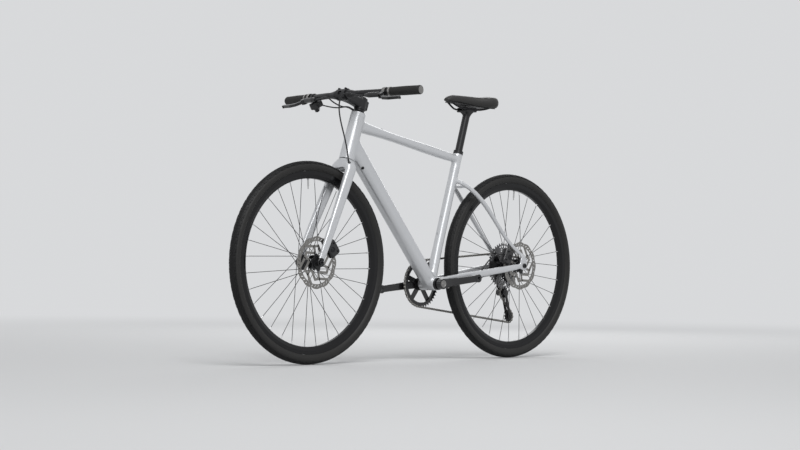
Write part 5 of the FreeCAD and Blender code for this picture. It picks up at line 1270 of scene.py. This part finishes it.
# %% [markdown]
# A brake hose is screwed into its lever and its caliper with a small hexagon nut, so these are turned in
# six steps.

# %% Hose nuts
nut_profile = in_metres([(0.0, 2.4), (0.0, 4.0), (6.0, 4.0), (6.5, 3.3), (9.0, 3.1), (9.0, 2.4)])


def hose_nut(bm, route, along):
    """Adds a nut on the first stretch of a hose, some way along it."""
    direction = (Vector(route[1]) - Vector(route[0])).normalized()
    turned(bm, Vector(route[0]) + direction * along, direction, nut_profile, steps=6)


lever_nuts = bmesh.new()
for route in (front_route, rear_route):
    hose_nut(lever_nuts, route, along=0.0012)
new_piece("lever_hose_nuts", lever_nuts, black_steel, "steering")
caliper_nut = bmesh.new()
hose_nut(caliper_nut, caliper_route, along=0.0150)
new_piece("caliper_hose_nut", caliper_nut, black_steel, "frame")

# %% [markdown]
# Where a hose or cable goes into the frame or fork it passes a rubber port. The frame's port is the
# foremost shell of the rear cables' solid. The fork's is set on the skin where the hose's own line meets
# it, which a ray cast finds.

# %% Ports
ports = merged_copy("rear_cables")
groups = sorted(islands(ports), key=lambda group: sum(v.co.x for v in group) / len(group))
bmesh.ops.delete(ports, geom=[v for group in groups[:-1] for v in group], context="VERTS")
port = new_piece("cable_port", ports, hose_rubber, "frame")
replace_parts(port, "rear_cables")

fork_tree = BVHTree.FromObject(fork_skin, bpy.context.evaluated_depsgraph_get())
path_out = Vector(front_route[-3])
path_in = Vector(front_route[-1])
mouth, mouth_normal, _face, _distance = fork_tree.ray_cast(path_out, (path_in - path_out).normalized())
grommet = bmesh.new()
grommet_profile = in_metres([(-1.5, 5.2), (0.4, 5.2), (1.1, 4.6), (1.2, 3.4), (0.6, 2.8)])
turned(grommet, mouth, mouth_normal, grommet_profile)
new_piece("fork_grommet", grommet, hose_rubber, "steering")

# %% [markdown]
# Each caliper has a round piston cap and two bolts on its outer face. Both calipers are laid out the same
# way, along a line out from the axle.

# %% Brake hardware
piston_out = 0.077
bolt_out = 0.093
bolt_apart = 0.0165
piston_cap = in_metres([
    (-0.5, 10.0), (0.9, 9.9), (1.4, 9.2), (1.4, 7.4), (0.7, 6.9), (0.7, 3.6), (1.3, 3.0), (1.3, 0.0)
])


def brake_hardware(name, body, axle, radial, face):
    """Piston cap and two bolts on the outer face of a caliper."""
    tangent = Vector((-radial.z, 0.0, radial.x))
    bm = bmesh.new()
    turned(bm, axle + radial * piston_out + left * face, left, piston_cap)
    for end in (-1, 1):
        base = axle + radial * bolt_out + tangent * (end * bolt_apart) + left * face
        bolt_head(bm, base, left, radius=0.0036, height=0.0026)
    new_piece(name, bm, black_steel, body)


front_up = 63.0
front_behind = 46.0
front_radial = (steer_up * front_up - steer_ahead * front_behind).normalized()
rear_angle = math.radians(24.0)
rear_radial = Vector((math.cos(rear_angle), 0.0, math.sin(rear_angle)))
brake_hardware("front_brake_hardware", "steering", front_axle, front_radial, face=0.052)
brake_hardware("rear_brake_hardware", "frame", rear_axle, rear_radial, face=0.069)

# %% [markdown]
# The left crank arm is clamped by two pinch bolts from below, and both arms have a cap over the spindle.
# The pedal threads' mounts give the line of the arm.

# %% Crank hardware
pinch_along = 0.027
pinch_down = 0.0155
pinch_sides = (0.0575, 0.0665)
cap_side = 0.070
mounts = {mount["name"]: Vector(mount["pos_m"]) for mount in frame["record"]["mounts"]}
arm = mounts["left_pedal_thread"] - bracket
arm_along = Vector((arm.x, 0.0, arm.z)).normalized()
arm_down = Vector((arm_along.z, 0.0, -arm_along.x))
if arm_down.z > 0:
    arm_down = -arm_down
crank_bolts = bmesh.new()
for y in pinch_sides:
    base = bracket + arm_along * pinch_along + arm_down * pinch_down + left * y
    bolt_head(crank_bolts, base, arm_down, radius=0.0034, height=0.0034)
spindle_cap = in_metres([
    (-0.5, 13.5), (0.8, 13.3), (1.2, 12.4), (1.2, 9.6), (0.5, 9.0), (0.5, 6.2), (1.0, 5.6), (1.0, 0.0)
])
for side in (1, -1):
    turned(crank_bolts, bracket + left * (side * cap_side), left * side, spindle_cap)
new_piece("crank_bolts", crank_bolts, grey_alloy, "crank")
